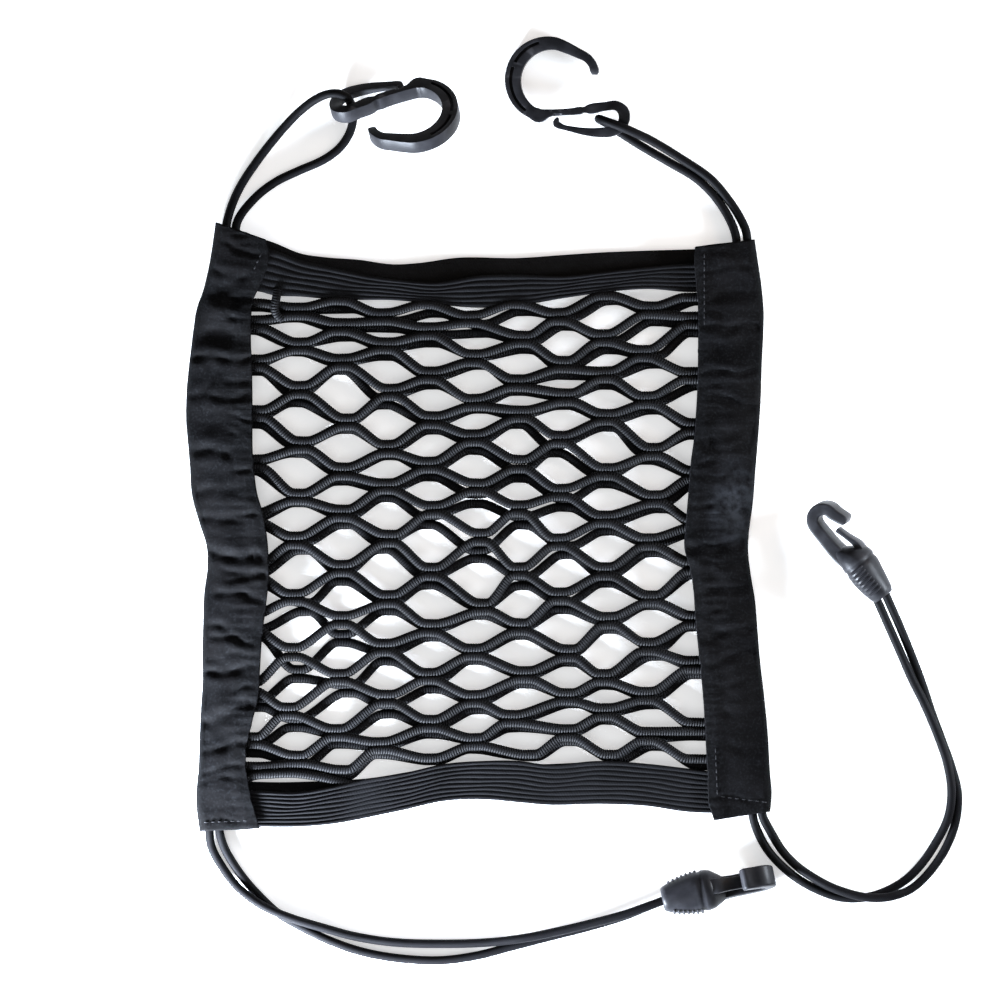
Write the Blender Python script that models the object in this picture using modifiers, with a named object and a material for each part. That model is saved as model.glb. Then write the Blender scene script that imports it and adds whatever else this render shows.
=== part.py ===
"""Car seat storage net, laid flat on its back.

Two layers of knotted elastic net are held between folded side bands and lengths of ribbed
elastic. Bungee cords leave the four corners: each upper loop carries an open C hook, and
each lower pair of cords ends in a snap hook with a ribbed sleeve.

X runs across the net, Y from its lower to its upper edge and Z up from the surface that it
lies on. The tables are in millimetres, and MM turns them into metres.
"""
import math

import bmesh
import bpy
from mathutils import Vector
from mathutils.geometry import interpolate_bezier

MM = 0.001

# ---------------------------------------------------------------- driving dimensions
GAP = 0.35                # clearance between neighbouring pieces
PLY = 1.0                 # thickness of the side band's cloth
NET_THICK = 3.0           # thickness of one net layer
ELASTIC_THICK = 1.4
CORD = 4.4                # bungee cord diameter
CORD_POINT_SPACING = 2.4 * CORD
TURN_STEP = math.radians(16.0)
STRAND = 5.0              # width of the net's cord where it lies
TUCK = 7.0                # how far net and elastic run in under the side bands
STEP_ROOM = 1.5           # from there to where a band's upper ply starts to fall
FOLD_STEPS = 5

NET_BACK_Z = PLY + GAP
NET_FRONT_Z = NET_BACK_Z + NET_THICK + GAP
BAND_HEIGHT = NET_FRONT_Z + NET_THICK + GAP + PLY

CELL_HALF_LENGTH = 15.0
CELL_SHOULDER = 6.5
CELL_FULLNESS = 0.86      # share of the wave's swing that a cell's flat top reaches
CELL_LEAST_HEIGHT = 3.0
CELL_SPREAD = (-9.0, 0.0, 9.0)
SELVAGE = 2.5             # net left round its outermost cells
CORNER_ROOM = 4.0         # least step between a side row and the net's lower corner
NET_PITCH = 44.0          # one full wave of a net strand
NET_START = -90.0         # X of a wave's crest on the even strands
BACK_SHIFT = (2.0, -1.5)  # the back net lies a little off the front one

# ---------------------------------------------------------------- shape tables
# Side bands, from the top end to the bottom end. `lean` is how much higher a row meets the
# inner edge than the outer one, `fold` how high the upper ply lies beside the fold, and
# `crease` how far it stands proud there where the cloth wrinkles.
BAND_COLUMNS = ("y", "lean", "outer", "inner", "fold", "crease")
LEFT_BAND = (
    (152.5, -8.8, -131.8, -106.5, 7.5, 0.0),
    (143.5, -7.5, -133.0, -104.8, 7.5, 0.2),
    (126.0, -3.5, -136.0, -106.0, 6.6, 0.8),
    (116.5, -1.0, -138.5, -107.5, 5.2, 0.1),
    (111.5, 1.5, -140.5, -113.0, 5.2, 1.2),
    (98.0, 0.0, -143.0, -114.0, 5.2, 0.0),
    (88.0, -1.5, -144.2, -113.8, 5.2, 1.0),
    (79.0, 2.0, -145.3, -113.5, 5.2, 0.0),
    (65.0, -1.0, -146.4, -113.2, 5.2, 0.9),
    (52.0, 0.5, -146.5, -113.2, 5.2, 0.1),
    (42.0, -1.5, -145.6, -113.2, 5.2, 1.1),
    (30.0, 0.0, -144.6, -112.5, 5.2, 0.2),
    (16.5, 1.0, -143.7, -111.0, 5.2, 0.6),
    (2.5, 2.5, -140.0, -107.5, 5.2, 0.1),
    (-10.0, 0.5, -136.2, -105.5, 5.2, 1.2),
    (-19.0, -2.0, -135.8, -105.0, 5.2, 0.0),
    (-33.0, 2.0, -137.5, -105.5, 5.2, 1.0),
    (-47.0, 3.5, -138.0, -107.0, 5.2, 0.2),
    (-61.0, 5.0, -138.4, -108.5, 5.2, 0.9),
    (-78.0, 6.0, -138.3, -109.5, 5.2, 0.1),
    (-92.0, 7.0, -139.2, -110.3, 5.2, 1.0),
    (-106.0, 7.5, -139.8, -113.6, 5.2, 0.2),
    (-119.0, 6.0, -140.2, -116.5, 6.6, 0.8),
    (-137.0, 3.0, -141.5, -114.0, 7.5, 0.1),
    (-152.0, 1.4, -139.8, -109.5, 7.5, 0.0),
)
RIGHT_BAND = (
    (143.8, -3.8, 137.9, 108.0, 7.5, 0.0),
    (134.0, -3.0, 139.3, 107.5, 7.5, 0.2),
    (121.0, -1.0, 141.2, 108.5, 6.6, 0.5),
    (107.0, 0.5, 142.4, 109.5, 5.2, 0.9),
    (97.0, -1.5, 142.2, 109.5, 5.2, 0.1),
    (80.0, 1.0, 141.4, 109.4, 5.2, 0.8),
    (64.0, 3.0, 140.9, 109.0, 5.2, 0.2),
    (46.0, -1.0, 139.7, 107.5, 5.2, 1.1),
    (30.0, 2.0, 138.4, 105.8, 5.2, 0.3),
    (12.0, 1.0, 137.0, 104.3, 5.2, 0.7),
    (-3.0, -1.0, 135.0, 102.8, 5.2, 1.3),
    (-10.0, 0.0, 134.6, 102.6, 5.2, 0.0),
    (-23.0, 2.0, 135.8, 105.5, 5.2, 0.9),
    (-36.0, 4.0, 138.0, 107.2, 5.2, 0.1),
    (-50.0, 3.0, 139.2, 108.2, 5.2, 1.0),
    (-66.0, 1.5, 140.5, 110.0, 5.2, 0.2),
    (-84.0, -1.0, 142.6, 112.0, 5.2, 0.8),
    (-104.0, -2.0, 144.5, 113.2, 5.2, 0.2),
    (-121.0, -3.0, 145.4, 114.2, 6.6, 0.4),
    (-135.0, -4.0, 146.3, 115.0, 7.5, 0.1),
    (-142.0, -4.5, 145.6, 117.5, 7.5, 0.0),
)

# Elastic, from left to right: where its upper and lower edges lie.
EDGE_COLUMNS = ("x", "upper", "lower")
TOP_FRONT = (
    (-112.0, 139.0, 118.5),
    (-104.0, 138.5, 116.0),
    (-88.5, 132.8, 115.0),
    (-77.0, 130.3, 114.0),
    (-60.0, 126.3, 113.4),
    (-42.0, 123.5, 113.2),
    (-22.0, 122.0, 111.2),
    (0.0, 125.5, 109.5),
    (20.0, 126.0, 110.6),
    (42.0, 125.2, 114.2),
    (60.0, 127.0, 116.8),
    (85.0, 129.8, 118.8),
    (105.0, 131.5, 117.3),
    (115.5, 131.5, 117.5),
)
TOP_BACK = (
    (-112.0, 145.0, 118.0),
    (-104.0, 142.7, 116.5),
    (-88.5, 136.6, 115.5),
    (-77.0, 134.9, 114.5),
    (-60.0, 133.6, 113.9),
    (-42.0, 131.3, 113.7),
    (-30.0, 132.0, 112.5),
    (-12.0, 134.5, 110.5),
    (20.0, 134.5, 111.0),
    (42.0, 136.0, 114.6),
    (60.0, 137.2, 117.2),
    (85.0, 138.2, 119.2),
    (105.0, 138.8, 117.8),
    (115.5, 139.2, 118.0),
)
BOTTOM_FRONT = (
    (-121.0, -132.0, -149.5),
    (-108.0, -132.0, -149.8),
    (-92.0, -132.6, -149.8),
    (-72.0, -129.3, -148.2),
    (-55.0, -125.7, -145.0),
    (-36.0, -122.5, -141.0),
    (-18.0, -118.4, -137.0),
    (2.0, -116.8, -136.1),
    (20.0, -116.8, -137.6),
    (34.0, -118.6, -138.8),
    (60.0, -116.8, -138.4),
    (85.0, -118.3, -139.5),
    (103.0, -120.4, -142.2),
    (121.0, -122.6, -143.0),
)
BOTTOM_BACK = (
    (-121.0, -127.0, -146.0),
    (-100.0, -127.5, -147.0),
    (-80.0, -127.0, -146.5),
    (-55.0, -125.5, -143.0),
    (-30.0, -121.5, -138.0),
    (0.0, -117.5, -134.5),
    (30.0, -118.5, -136.5),
    (60.0, -117.5, -136.5),
    (95.0, -119.8, -139.0),
    (121.0, -122.8, -141.5),
)

# Height of each net strand at the left, the middle and the right, from the top strand down.
STRAND_STATIONS = (-110.0, 0.0, 108.0)
STRANDS = (
    (113.0, 105.5, 112.0),
    (105.0, 97.5, 102.5),
    (94.5, 87.5, 91.5),
    (84.5, 78.5, 80.0),
    (72.5, 68.5, 68.0),
    (59.5, 58.0, 55.8),
    (46.0, 46.5, 43.5),
    (33.5, 35.0, 31.3),
    (21.8, 23.5, 19.5),
    (10.0, 11.0, 7.5),
    (-2.5, -3.0, -4.0),
    (-15.5, -18.0, -16.0),
    (-29.0, -32.0, -28.8),
    (-43.5, -45.0, -41.3),
    (-58.0, -57.5, -53.8),
    (-72.5, -69.5, -66.5),
    (-87.0, -81.5, -78.8),
    (-100.0, -93.5, -90.5),
    (-110.5, -103.5, -101.3),
    (-119.0, -111.0, -111.0),
    (-127.0, -118.0, -119.5),
)

# The C hook's bar, from its tip round the C, along the shank, round the eye and back
# along the clip that closes it. The C's centre is at (0, 0). Each row of a bar's table is
# (along, across, width, thick), here and for the snap hook.
C_TIP = (
    (23.3, 3.2, 3.0, 5.0),
    (22.8, 7.0, 4.0, 6.0),
    (20.2, 10.2, 4.4, 7.0),
    (14.5, 13.4, 5.0, 7.0),
    (8.6, 16.2, 5.8, 7.0),
)
C_RADIUS = 18.3
C_WIDTH = 6.3
C_THICK = 7.0
C_FROM_DEG = 78.0
C_TO_DEG = 246.0
C_STEPS = 11
C_SHANK = (
    (-4.0, -17.4, 5.0, 7.0),
    (0.5, -16.8, 3.6, 7.0),
    (6.0, -16.4, 3.0, 7.0),
    (13.5, -15.9, 3.2, 7.0),
    (21.0, -14.8, 4.2, 7.0),
    (28.5, -13.5, 4.0, 7.0),
    (34.5, -13.0, 4.2, 7.0),
    (38.0, -15.6, 4.4, 6.4),
    (38.7, -19.6, 4.2, 4.8),
    (36.8, -23.6, 4.8, 3.8),
    (32.0, -25.8, 5.2, 3.6),
    (25.0, -26.5, 4.8, 3.6),
    (18.5, -26.0, 4.0, 3.6),
    (11.0, -24.6, 3.0, 3.6),
    (5.2, -23.0, 2.6, 3.6),
    (2.9, -21.6, 2.6, 3.6),
    (4.0, -19.8, 1.2, 3.6),
)

# The snap hook, from the cord's end of the sleeve to the lip. `across` is negative on the
# side that the hook opens to.
SNAP_BODY = (
    (0.0, -0.2, 12.6, 13.8),
    (3.0, -0.2, 14.0, 15.8),
    (9.0, -0.3, 16.0, 18.8),
    (15.0, -0.8, 17.2, 20.4),
    (20.0, -1.0, 17.0, 20.6),
    (23.5, -0.6, 15.6, 19.0),
    (25.6, 0.2, 13.6, 16.6),
    (27.4, 3.6, 7.8, 13.6),
    (33.0, 4.3, 6.6, 9.6),
    (40.0, 4.5, 6.2, 9.2),
)
SNAP_CURL = {"along": 46.2, "across": -1.2, "radius": 5.7, "width": 5.8, "thick": 10.2}
SNAP_CURL_STEPS = 7
SNAP_CURL_TURN = 150.0
SNAP_LIP = (
    (46.4, -7.3, 5.0, 10.6),
    (43.0, -8.3, 4.4, 10.8),
    (40.8, -9.2, 4.2, 10.8),
    (38.9, -10.3, 3.4, 10.8),
)
SNAP_GATE = (
    (21.5, -6.6, 3.0, 7.0),
    (26.0, -7.0, 2.3, 6.6),
    (33.0, -4.9, 1.8, 6.0),
    (39.4, -2.9, 1.8, 6.0),
)

# Where the hooks lie: (x, y, z, roll, pitch, heading), in mm and degrees.
HOOK_PLACES = {
    "hook_upper_left": (-31.0, 205.0, 20.2, 41.0, 0.0, 194.5),
    "hook_upper_right": (34.5, 223.5, 5.2, 0.0, -4.0, 0.0),
    "hook_lower_left": (93.8, -185.6, 8.6, -101.0, 0.0, 11.9),
    "hook_lower_right": (200.6, -33.0, 11.1, -20.0, 2.5, 128.0),
}

# Bungee routes, (x, y, z) along each cord's middle, from the net outwards.
ROUTE_UPPER_LEFT = (
    (-126.4, 141.0, 4.0),
    (-125.8, 153.0, 4.0),
    (-120.3, 168.2, 3.0),
    (-110.6, 183.3, 2.6),
    (-99.2, 197.6, 3.8),
    (-88.5, 208.5, 7.6),
    (-78.9, 214.8, 12.2),
    (-71.5, 216.4, 14.6),
    (-66.2, 214.6, 12.6),
    (-63.9, 211.2, 8.2),
    (-62.9, 206.9, 4.5),
    (-63.6, 200.0, 2.9),
    (-66.2, 194.0, 2.5),
    (-71.0, 188.2, 2.4),
    (-78.7, 183.0, 2.4),
    (-90.2, 178.0, 2.4),
    (-101.6, 172.5, 2.5),
    (-112.2, 164.2, 3.0),
    (-120.8, 152.5, 4.0),
    (-121.4, 141.0, 4.0),
)
ROUTE_UPPER_RIGHT = (
    (133.9, 133.0, 4.0),
    (133.8, 146.0, 4.0),
    (131.0, 153.5, 3.8),
    (125.0, 163.0, 3.4),
    (115.6, 174.0, 4.2),
    (101.0, 184.0, 5.2),
    (86.5, 192.7, 8.2),
    (78.0, 196.7, 11.2),
    (71.6, 199.4, 12.7),
    (65.4, 201.8, 12.5),
    (61.4, 203.3, 10.8),
    (59.8, 203.9, 7.5),
    (60.8, 203.3, 4.2),
    (64.4, 201.4, 2.7),
    (68.4, 198.6, 2.5),
    (73.2, 195.4, 2.5),
    (81.8, 190.0, 2.5),
    (95.6, 182.0, 2.5),
    (108.2, 174.5, 2.5),
    (117.3, 165.9, 2.6),
    (124.6, 155.0, 3.4),
    (128.4, 145.0, 4.0),
    (128.8, 133.0, 4.0),
)
ROUTE_LOWER_LEFT_A = (
    (-134.8, -138.0, 4.0),
    (-134.8, -151.0, 4.0),
    (-133.8, -159.5, 2.8),
    (-129.6, -168.0, 2.4),
    (-122.2, -178.2, 3.2),
    (-112.8, -186.2, 6.3),
    (-103.6, -191.4, 7.4),
    (-93.0, -195.6, 7.2),
    (-80.0, -199.6, 5.3),
    (-62.0, -204.6, 2.5),
    (-42.0, -207.6, 2.4),
    (-18.0, -208.3, 2.4),
    (4.0, -207.6, 3.8),
    (22.0, -205.4, 6.9),
    (38.0, -202.2, 7.9),
    (54.0, -198.4, 8.9),
    (72.0, -193.6, 10.3),
    (84.0, -189.4, 10.7),
    (93.2, -186.0, 10.7),
)
ROUTE_LOWER_LEFT_B = (
    (-129.8, -138.0, 4.0),
    (-129.8, -151.0, 4.0),
    (-127.6, -159.5, 2.8),
    (-123.2, -167.6, 2.4),
    (-117.0, -176.4, 2.3),
    (-109.6, -184.6, 2.3),
    (-101.0, -192.6, 2.3),
    (-90.0, -199.2, 2.3),
    (-74.0, -207.0, 2.4),
    (-58.0, -212.4, 2.4),
    (-40.0, -215.6, 2.4),
    (-20.0, -216.6, 2.4),
    (-2.0, -214.4, 2.4),
    (16.0, -209.8, 2.4),
    (36.0, -204.6, 2.7),
    (54.0, -200.0, 3.6),
    (72.0, -194.6, 5.0),
    (84.0, -189.8, 5.6),
    (93.2, -186.2, 5.6),
)
ROUTE_LOWER_RIGHT_A = (
    (136.4, -130.0, 4.0),
    (136.7, -143.5, 4.0),
    (139.4, -152.4, 2.8),
    (144.0, -161.0, 2.4),
    (150.6, -168.6, 2.4),
    (159.0, -175.6, 2.4),
    (168.6, -181.0, 2.4),
    (180.0, -185.0, 2.4),
    (191.0, -185.4, 2.4),
    (202.0, -182.6, 2.4),
    (212.6, -176.8, 2.4),
    (221.0, -168.6, 2.4),
    (228.2, -158.0, 2.4),
    (234.2, -145.6, 4.6),
    (236.0, -132.4, 6.6),
    (234.0, -118.4, 7.3),
    (229.4, -104.6, 7.3),
    (222.8, -89.0, 7.0),
    (216.2, -75.6, 6.0),
    (210.5, -62.6, 6.4),
    (204.9, -50.2, 8.5),
    (199.6, -38.3, 10.2),
    (198.6, -36.2, 10.5),
)
ROUTE_LOWER_RIGHT_B = (
    (141.3, -130.0, 4.0),
    (141.5, -143.5, 4.0),
    (145.8, -152.4, 3.4),
    (151.3, -161.4, 2.8),
    (158.1, -168.8, 2.7),
    (165.8, -174.4, 4.0),
    (175.5, -179.7, 6.0),
    (186.4, -183.5, 7.3),
    (196.0, -185.2, 7.4),
    (206.4, -184.4, 6.9),
    (216.9, -180.2, 4.0),
    (226.0, -171.4, 2.4),
    (233.8, -159.4, 2.4),
    (238.4, -146.4, 2.4),
    (239.3, -133.0, 2.4),
    (236.0, -119.6, 2.4),
    (231.1, -106.0, 2.4),
    (225.9, -91.8, 2.4),
    (221.0, -76.9, 2.8),
    (215.5, -62.6, 5.0),
    (209.6, -48.4, 8.2),
    (204.2, -36.4, 10.4),
    (202.7, -32.9, 10.8),
)

# ---------------------------------------------------------------- materials
FINISHES = {
    "black_net_cord": ((0.014, 0.014, 0.017), 0.62),
    "black_band_cloth": ((0.012, 0.012, 0.014), 0.78),
    "black_elastic": ((0.013, 0.013, 0.016), 0.70),
    "black_bungee": ((0.010, 0.010, 0.012), 0.40),
    "black_plastic": ((0.020, 0.020, 0.023), 0.42),
}


def make_material(name):
    colour, roughness = FINISHES[name]
    made = bpy.data.materials.new(name)
    made.use_nodes = True
    shader = made.node_tree.nodes["Principled BSDF"]
    shader.inputs["Base Color"].default_value = (*colour, 1.0)
    shader.inputs["Roughness"].default_value = roughness
    shader.inputs["Metallic"].default_value = 0.0
    return made


# ---------------------------------------------------------------- small tools
def column(rows, columns, name):
    """One named column of a table."""
    place = columns.index(name)
    return [row[place] for row in rows]


def read_between(keys, values, at):
    """Straight reading of a table between its rows, held at its ends."""
    pairs = sorted(zip(keys, values))
    if at <= pairs[0][0]:
        return pairs[0][1]
    for (low_key, low), (high_key, high) in zip(pairs, pairs[1:]):
        if at <= high_key:
            share = (at - low_key) / (high_key - low_key)
            return low + share * (high - low)
    return pairs[-1][1]


def read_band(rows, name, y):
    return read_between(column(rows, BAND_COLUMNS, "y"), column(rows, BAND_COLUMNS, name), y)


def read_edge(rows, name, x):
    return read_between(column(rows, EDGE_COLUMNS, "x"), column(rows, EDGE_COLUMNS, name), x)


def add_mesh(name, vertices, faces, material, parts):
    """A mesh object from points in millimetres, with its faces turned outwards."""
    mesh = bpy.data.meshes.new(name)
    mesh.from_pydata([Vector(v) * MM for v in vertices], [], faces)
    made = bpy.data.objects.new(name, mesh)
    parts.objects.link(made)
    mesh.materials.append(material)
    return made


def add_sheet(name, grid, thickness, material, parts):
    """A cloth sheet: the open surface through a grid of points, given its thickness."""
    rows = len(grid)
    columns = len(grid[0])
    points = [point for row in grid for point in row]
    faces = []
    for r in range(rows - 1):
        for c in range(columns - 1):
            corner = r * columns + c
            faces.append((corner, corner + 1, corner + columns + 1, corner + columns))
    sheet = add_mesh(name, points, faces, material, parts)
    solidify = sheet.modifiers.new("thickness", "SOLIDIFY")
    solidify.thickness = thickness * MM
    solidify.offset = 0.0
    solidify.use_even_offset = True
    return sheet


def turn_outwards(made):
    """Recalculate a closed mesh's normals so that they point out."""
    shape = bmesh.new()
    shape.from_mesh(made.data)
    bmesh.ops.recalc_face_normals(shape, faces=shape.faces)
    shape.to_mesh(made.data)
    shape.free()


def smooth_route(route, step):
    """Points on the smooth curve through a route: `step` mm apart, closer where it turns."""
    points = [Vector(p) for p in route]
    dense = []
    for i in range(len(points) - 1):
        before = points[max(i - 1, 0)]
        start, end = points[i], points[i + 1]
        after = points[min(i + 2, len(points) - 1)]
        reach = (end - start).length
        handle_a = start + (end - before).normalized() * reach / 3.0
        handle_b = end - (after - start).normalized() * reach / 3.0
        dense += interpolate_bezier(start, handle_a, handle_b, end, 24)[:-1]
    dense.append(points[-1])
    kept = [dense[0]]
    travelled = 0.0
    heading = dense[1] - dense[0]
    for i in range(1, len(dense) - 1):
        travelled += (dense[i] - dense[i - 1]).length
        ahead = dense[i + 1] - dense[i]
        turned = heading.angle(ahead)
        if travelled >= step or (turned > TURN_STEP and travelled > CORD / 2):
            kept.append(dense[i])
            travelled = 0.0
            heading = ahead
    if travelled < CORD / 2:
        kept.pop()
    kept.append(dense[-1])
    return kept


# ---------------------------------------------------------------- the net
def strand_base(index, x):
    """Middle line of a strand: the parabola through its three stated heights."""
    left, middle, right = STRANDS[index]
    x0, x1, x2 = STRAND_STATIONS
    return (
        left * (x - x1) * (x - x2) / ((x0 - x1) * (x0 - x2))
        + middle * (x - x0) * (x - x2) / ((x1 - x0) * (x1 - x2))
        + right * (x - x0) * (x - x1) / ((x2 - x0) * (x2 - x1))
    )


def strand_swing(index, x):
    """Half height of a strand's wave: neighbours just meet at their knots."""
    above = strand_base(max(index - 1, 0), x)
    below = strand_base(min(index + 1, len(STRANDS) - 1), x)
    spans = min(index, 1) + min(len(STRANDS) - 1 - index, 1)
    return max(0.8, ((above - below) / spans - STRAND) / 2)


def net_side(band, outwards, top_rows, bottom_rows):
    """One side of a net layer, from low to high: it runs along inside its band."""
    side = []
    for row in band:
        y, lean, outer, inner = row[:4]
        x = inner + outwards * TUCK
        tucked_y = band_y(y, lean, outer, inner, x)
        lowest = read_edge(bottom_rows, "upper", x) + CORNER_ROOM
        highest = read_edge(top_rows, "lower", x) - 3 * GAP
        if lowest < tucked_y < highest:
            side.append((x, tucked_y))
    return side[::-1]


def net_outline(top_rows, bottom_rows):
    """Outer edge of a net layer: tucked under the bands, and up to the elastic."""
    top = [(row[0], row[2] - GAP) for row in top_rows]
    bottom = [(row[0], row[1] + GAP) for row in bottom_rows]
    left = net_side(LEFT_BAND, -1.0, top_rows, bottom_rows)
    right = net_side(RIGHT_BAND, 1.0, top_rows, bottom_rows)
    return bottom + right + top[::-1] + left[::-1]


def cell_limit(above, x, shift_y, top_rows, bottom_rows):
    """Upper and lower side of the cell under strand `above`, where it is fullest."""
    edges = []
    for index, outwards in ((above, 1.0), (above + 1, -1.0)):
        swing = strand_swing(index, x) * CELL_FULLNESS - STRAND / 2
        edges.append(strand_base(index, x) + outwards * swing + shift_y)
    highest = read_edge(top_rows, "lower", x) - GAP - SELVAGE
    lowest = read_edge(bottom_rows, "upper", x) + GAP + SELVAGE
    return min(edges[0], highest), max(edges[1], lowest)


def net_cell(above, column_x, shift, top_rows, bottom_rows):
    """Outline of the cell between strand `above` and the next one, or None."""
    shift_x, shift_y = shift
    centre_x = column_x + shift_x
    middle = sum(strand_base(above + i, centre_x) for i in (0, 1)) / 2
    rows = [middle + spread for spread in CELL_SPREAD]
    low_x = max(read_band(LEFT_BAND, "inner", y) for y in rows) - TUCK + SELVAGE
    high_x = min(read_band(RIGHT_BAND, "inner", y) for y in rows) + TUCK - SELVAGE
    stops = (-CELL_HALF_LENGTH, -CELL_SHOULDER, CELL_SHOULDER, CELL_HALF_LENGTH)
    xs = sorted({min(max(centre_x + s, low_x), high_x) for s in stops})
    if xs[-1] - xs[0] < CELL_SHOULDER:
        return None
    top, bottom = [], []
    for x in xs:
        upper, lower = cell_limit(above, x, shift_y, top_rows, bottom_rows)
        if upper - lower < CELL_LEAST_HEIGHT:
            return None
        reach = (CELL_HALF_LENGTH - abs(x - centre_x)) / (CELL_HALF_LENGTH - CELL_SHOULDER)
        half = (upper - lower) / 2 * min(reach, 1.0)
        top.append((x, (upper + lower) / 2 + half))
        if half > GAP:
            bottom.append((x, (upper + lower) / 2 - half))
    return top + bottom[::-1]


def net_cells(shift, top_rows, bottom_rows):
    """Every cell of a layer, row by row."""
    cells = []
    for above in range(len(STRANDS) - 1):
        first = NET_START if above % 2 else NET_START - NET_PITCH / 2
        for step in range(-1, 6):
            column_x = first + step * NET_PITCH
            cell = net_cell(above, column_x, shift, top_rows, bottom_rows)
            if cell:
                cells.append(cell)
    return cells


def build_net(name, base_z, shift, edges, material, parts):
    """One net layer: a flat outline with a hole for each cell."""
    curve = bpy.data.curves.new(name, "CURVE")
    curve.dimensions = "2D"
    curve.fill_mode = "BOTH"
    curve.extrude = NET_THICK / 2 * MM
    for loop in [net_outline(*edges)] + net_cells(shift, *edges):
        spline = curve.splines.new("POLY")
        spline.points.add(len(loop) - 1)
        spline.use_cyclic_u = True
        for point, (x, y) in zip(spline.points, loop):
            point.co = (x * MM, y * MM, 0.0, 1.0)
    flat = bpy.data.objects.new(name + "_outline", curve)
    parts.objects.link(flat)
    bpy.context.view_layer.update()
    evaluated = flat.evaluated_get(bpy.context.evaluated_depsgraph_get())
    mesh = bpy.data.meshes.new_from_object(evaluated)
    bpy.data.objects.remove(flat)
    shape = bmesh.new()
    shape.from_mesh(mesh)
    bmesh.ops.remove_doubles(shape, verts=shape.verts, dist=0.00001)
    bmesh.ops.recalc_face_normals(shape, faces=shape.faces)
    shape.to_mesh(mesh)
    shape.free()
    mesh.materials.clear()
    mesh.materials.append(material)
    net = bpy.data.objects.new(name, mesh)
    net.location = (0.0, 0.0, (base_z + NET_THICK / 2) * MM)
    parts.objects.link(net)
    return net


# ---------------------------------------------------------------- bands and elastic


def band_y(y, lean, outer, inner, x):
    """How high a band's row lies at x, on its slant from the outer to the inner edge."""
    return y + lean * (x - outer) / (inner - outer)


def band_section(outer, inner, fold, crease):
    """Across the folded band, from the lower ply's inner edge round to the upper ply's."""
    low = PLY / 2
    high = BAND_HEIGHT - PLY / 2
    radius = (fold - low) / 2
    side = 1.0 if outer > inner else -1.0
    fold_x = outer - side * (radius + PLY / 2)
    step_x = inner + side * (TUCK + STEP_ROOM)
    points = [(inner, low), (step_x, low)]
    for i in range(FOLD_STEPS):
        angle = math.pi * i / (FOLD_STEPS - 1)
        x = fold_x + side * radius * math.sin(angle)
        points.append((x, low + radius * (1 - math.cos(angle))))
    points.append(((step_x + fold_x) / 2, (fold + high) / 2 + crease))
    points.append((step_x, high + crease / 2))
    points.append((inner, high))
    return points


def build_band(name, rows, material, parts):
    grid = []
    for y, lean, outer, inner, fold, crease in rows:
        section = band_section(outer, inner, fold, crease)
        grid.append([(x, band_y(y, lean, outer, inner, x), z) for x, z in section])
    return add_sheet(name, grid, PLY, material, parts)


def build_elastic(name, rows, middle_z, material, parts):
    grid = []
    for x, upper, lower in rows:
        grid.append([(x, y, middle_z) for y in (upper, (upper + lower) / 2, lower)])
    return add_sheet(name, grid, ELASTIC_THICK, material, parts)


# ---------------------------------------------------------------- cords
def build_cord(name, route, material, parts):
    """A round cord along its route, with closed ends."""
    points = smooth_route(route, CORD_POINT_SPACING)
    curve = bpy.data.curves.new(name, "CURVE")
    curve.dimensions = "3D"
    curve.bevel_depth = CORD / 2 * MM
    curve.bevel_resolution = 2
    curve.use_fill_caps = True
    spline = curve.splines.new("POLY")
    spline.points.add(len(points) - 1)
    for point, place in zip(spline.points, points):
        point.co = (*(place * MM), 1.0)
    curve.materials.append(material)
    cord = bpy.data.objects.new(name, curve)
    parts.objects.link(cord)
    return cord


# ---------------------------------------------------------------- hooks
CORNER_CUT = 0.30         # share of the half size that a bar's corners lose


def bar_loop(width, thick, rounded):
    """A bar's section as (across, up) points: eight cut-corner points or a round twelve."""
    half_w, half_t = width / 2, thick / 2
    if rounded:
        turn = [2 * math.pi * (i + 0.5) / 12 for i in range(12)]
        return [(half_w * math.cos(t) * 1.03, half_t * math.sin(t) * 1.03) for t in turn]
    keep = 1 - CORNER_CUT
    return [
        (half_w, -half_t * keep), (half_w, half_t * keep),
        (half_w * keep, half_t), (-half_w * keep, half_t),
        (-half_w, half_t * keep), (-half_w, -half_t * keep),
        (-half_w * keep, -half_t), (half_w * keep, -half_t),
    ]


def loft_bar(name, stations, rounded, square_rows, material, parts):
    """A bar of changing section along a flat path, closed at both ends.

    The first `square_rows` sections stand square to X, and the rest square to the path.
    """
    path = [Vector((s[0], s[1])) for s in stations]
    vertices, faces = [], []
    for i, station in enumerate(stations):
        ahead = path[min(i + 1, len(path) - 1)]
        behind = path[max(i - 1, 0)]
        along = Vector((1.0, 0.0)) if i < square_rows else (ahead - behind).normalized()
        aside = Vector((-along.y, along.x))
        for across, up in bar_loop(station[2], station[3], rounded):
            place = path[i] + aside * across
            vertices.append((place.x, place.y, up))
    size = len(bar_loop(1.0, 1.0, rounded))
    for i in range(len(stations) - 1):
        for k in range(size):
            near, far = i * size + k, i * size + (k + 1) % size
            faces.append((near, far, far + size, near + size))
    faces.append(tuple(range(size)))
    faces.append(tuple(range((len(stations) - 1) * size, len(stations) * size)))
    bar = add_mesh(name, vertices, faces, material, parts)
    turn_outwards(bar)
    return bar


def place_hook(hook, name):
    x, y, z, roll, pitch, heading = HOOK_PLACES[name]
    hook.location = (x * MM, y * MM, z * MM)
    hook.rotation_euler = tuple(math.radians(a) for a in (roll, pitch, heading))


def c_hook_stations():
    stations = list(C_TIP)
    for i in range(C_STEPS):
        share = i / (C_STEPS - 1)
        angle = math.radians(C_FROM_DEG + share * (C_TO_DEG - C_FROM_DEG))
        stations.append(
            (C_RADIUS * math.cos(angle), C_RADIUS * math.sin(angle), C_WIDTH, C_THICK)
        )
    return stations + list(C_SHANK)


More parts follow.
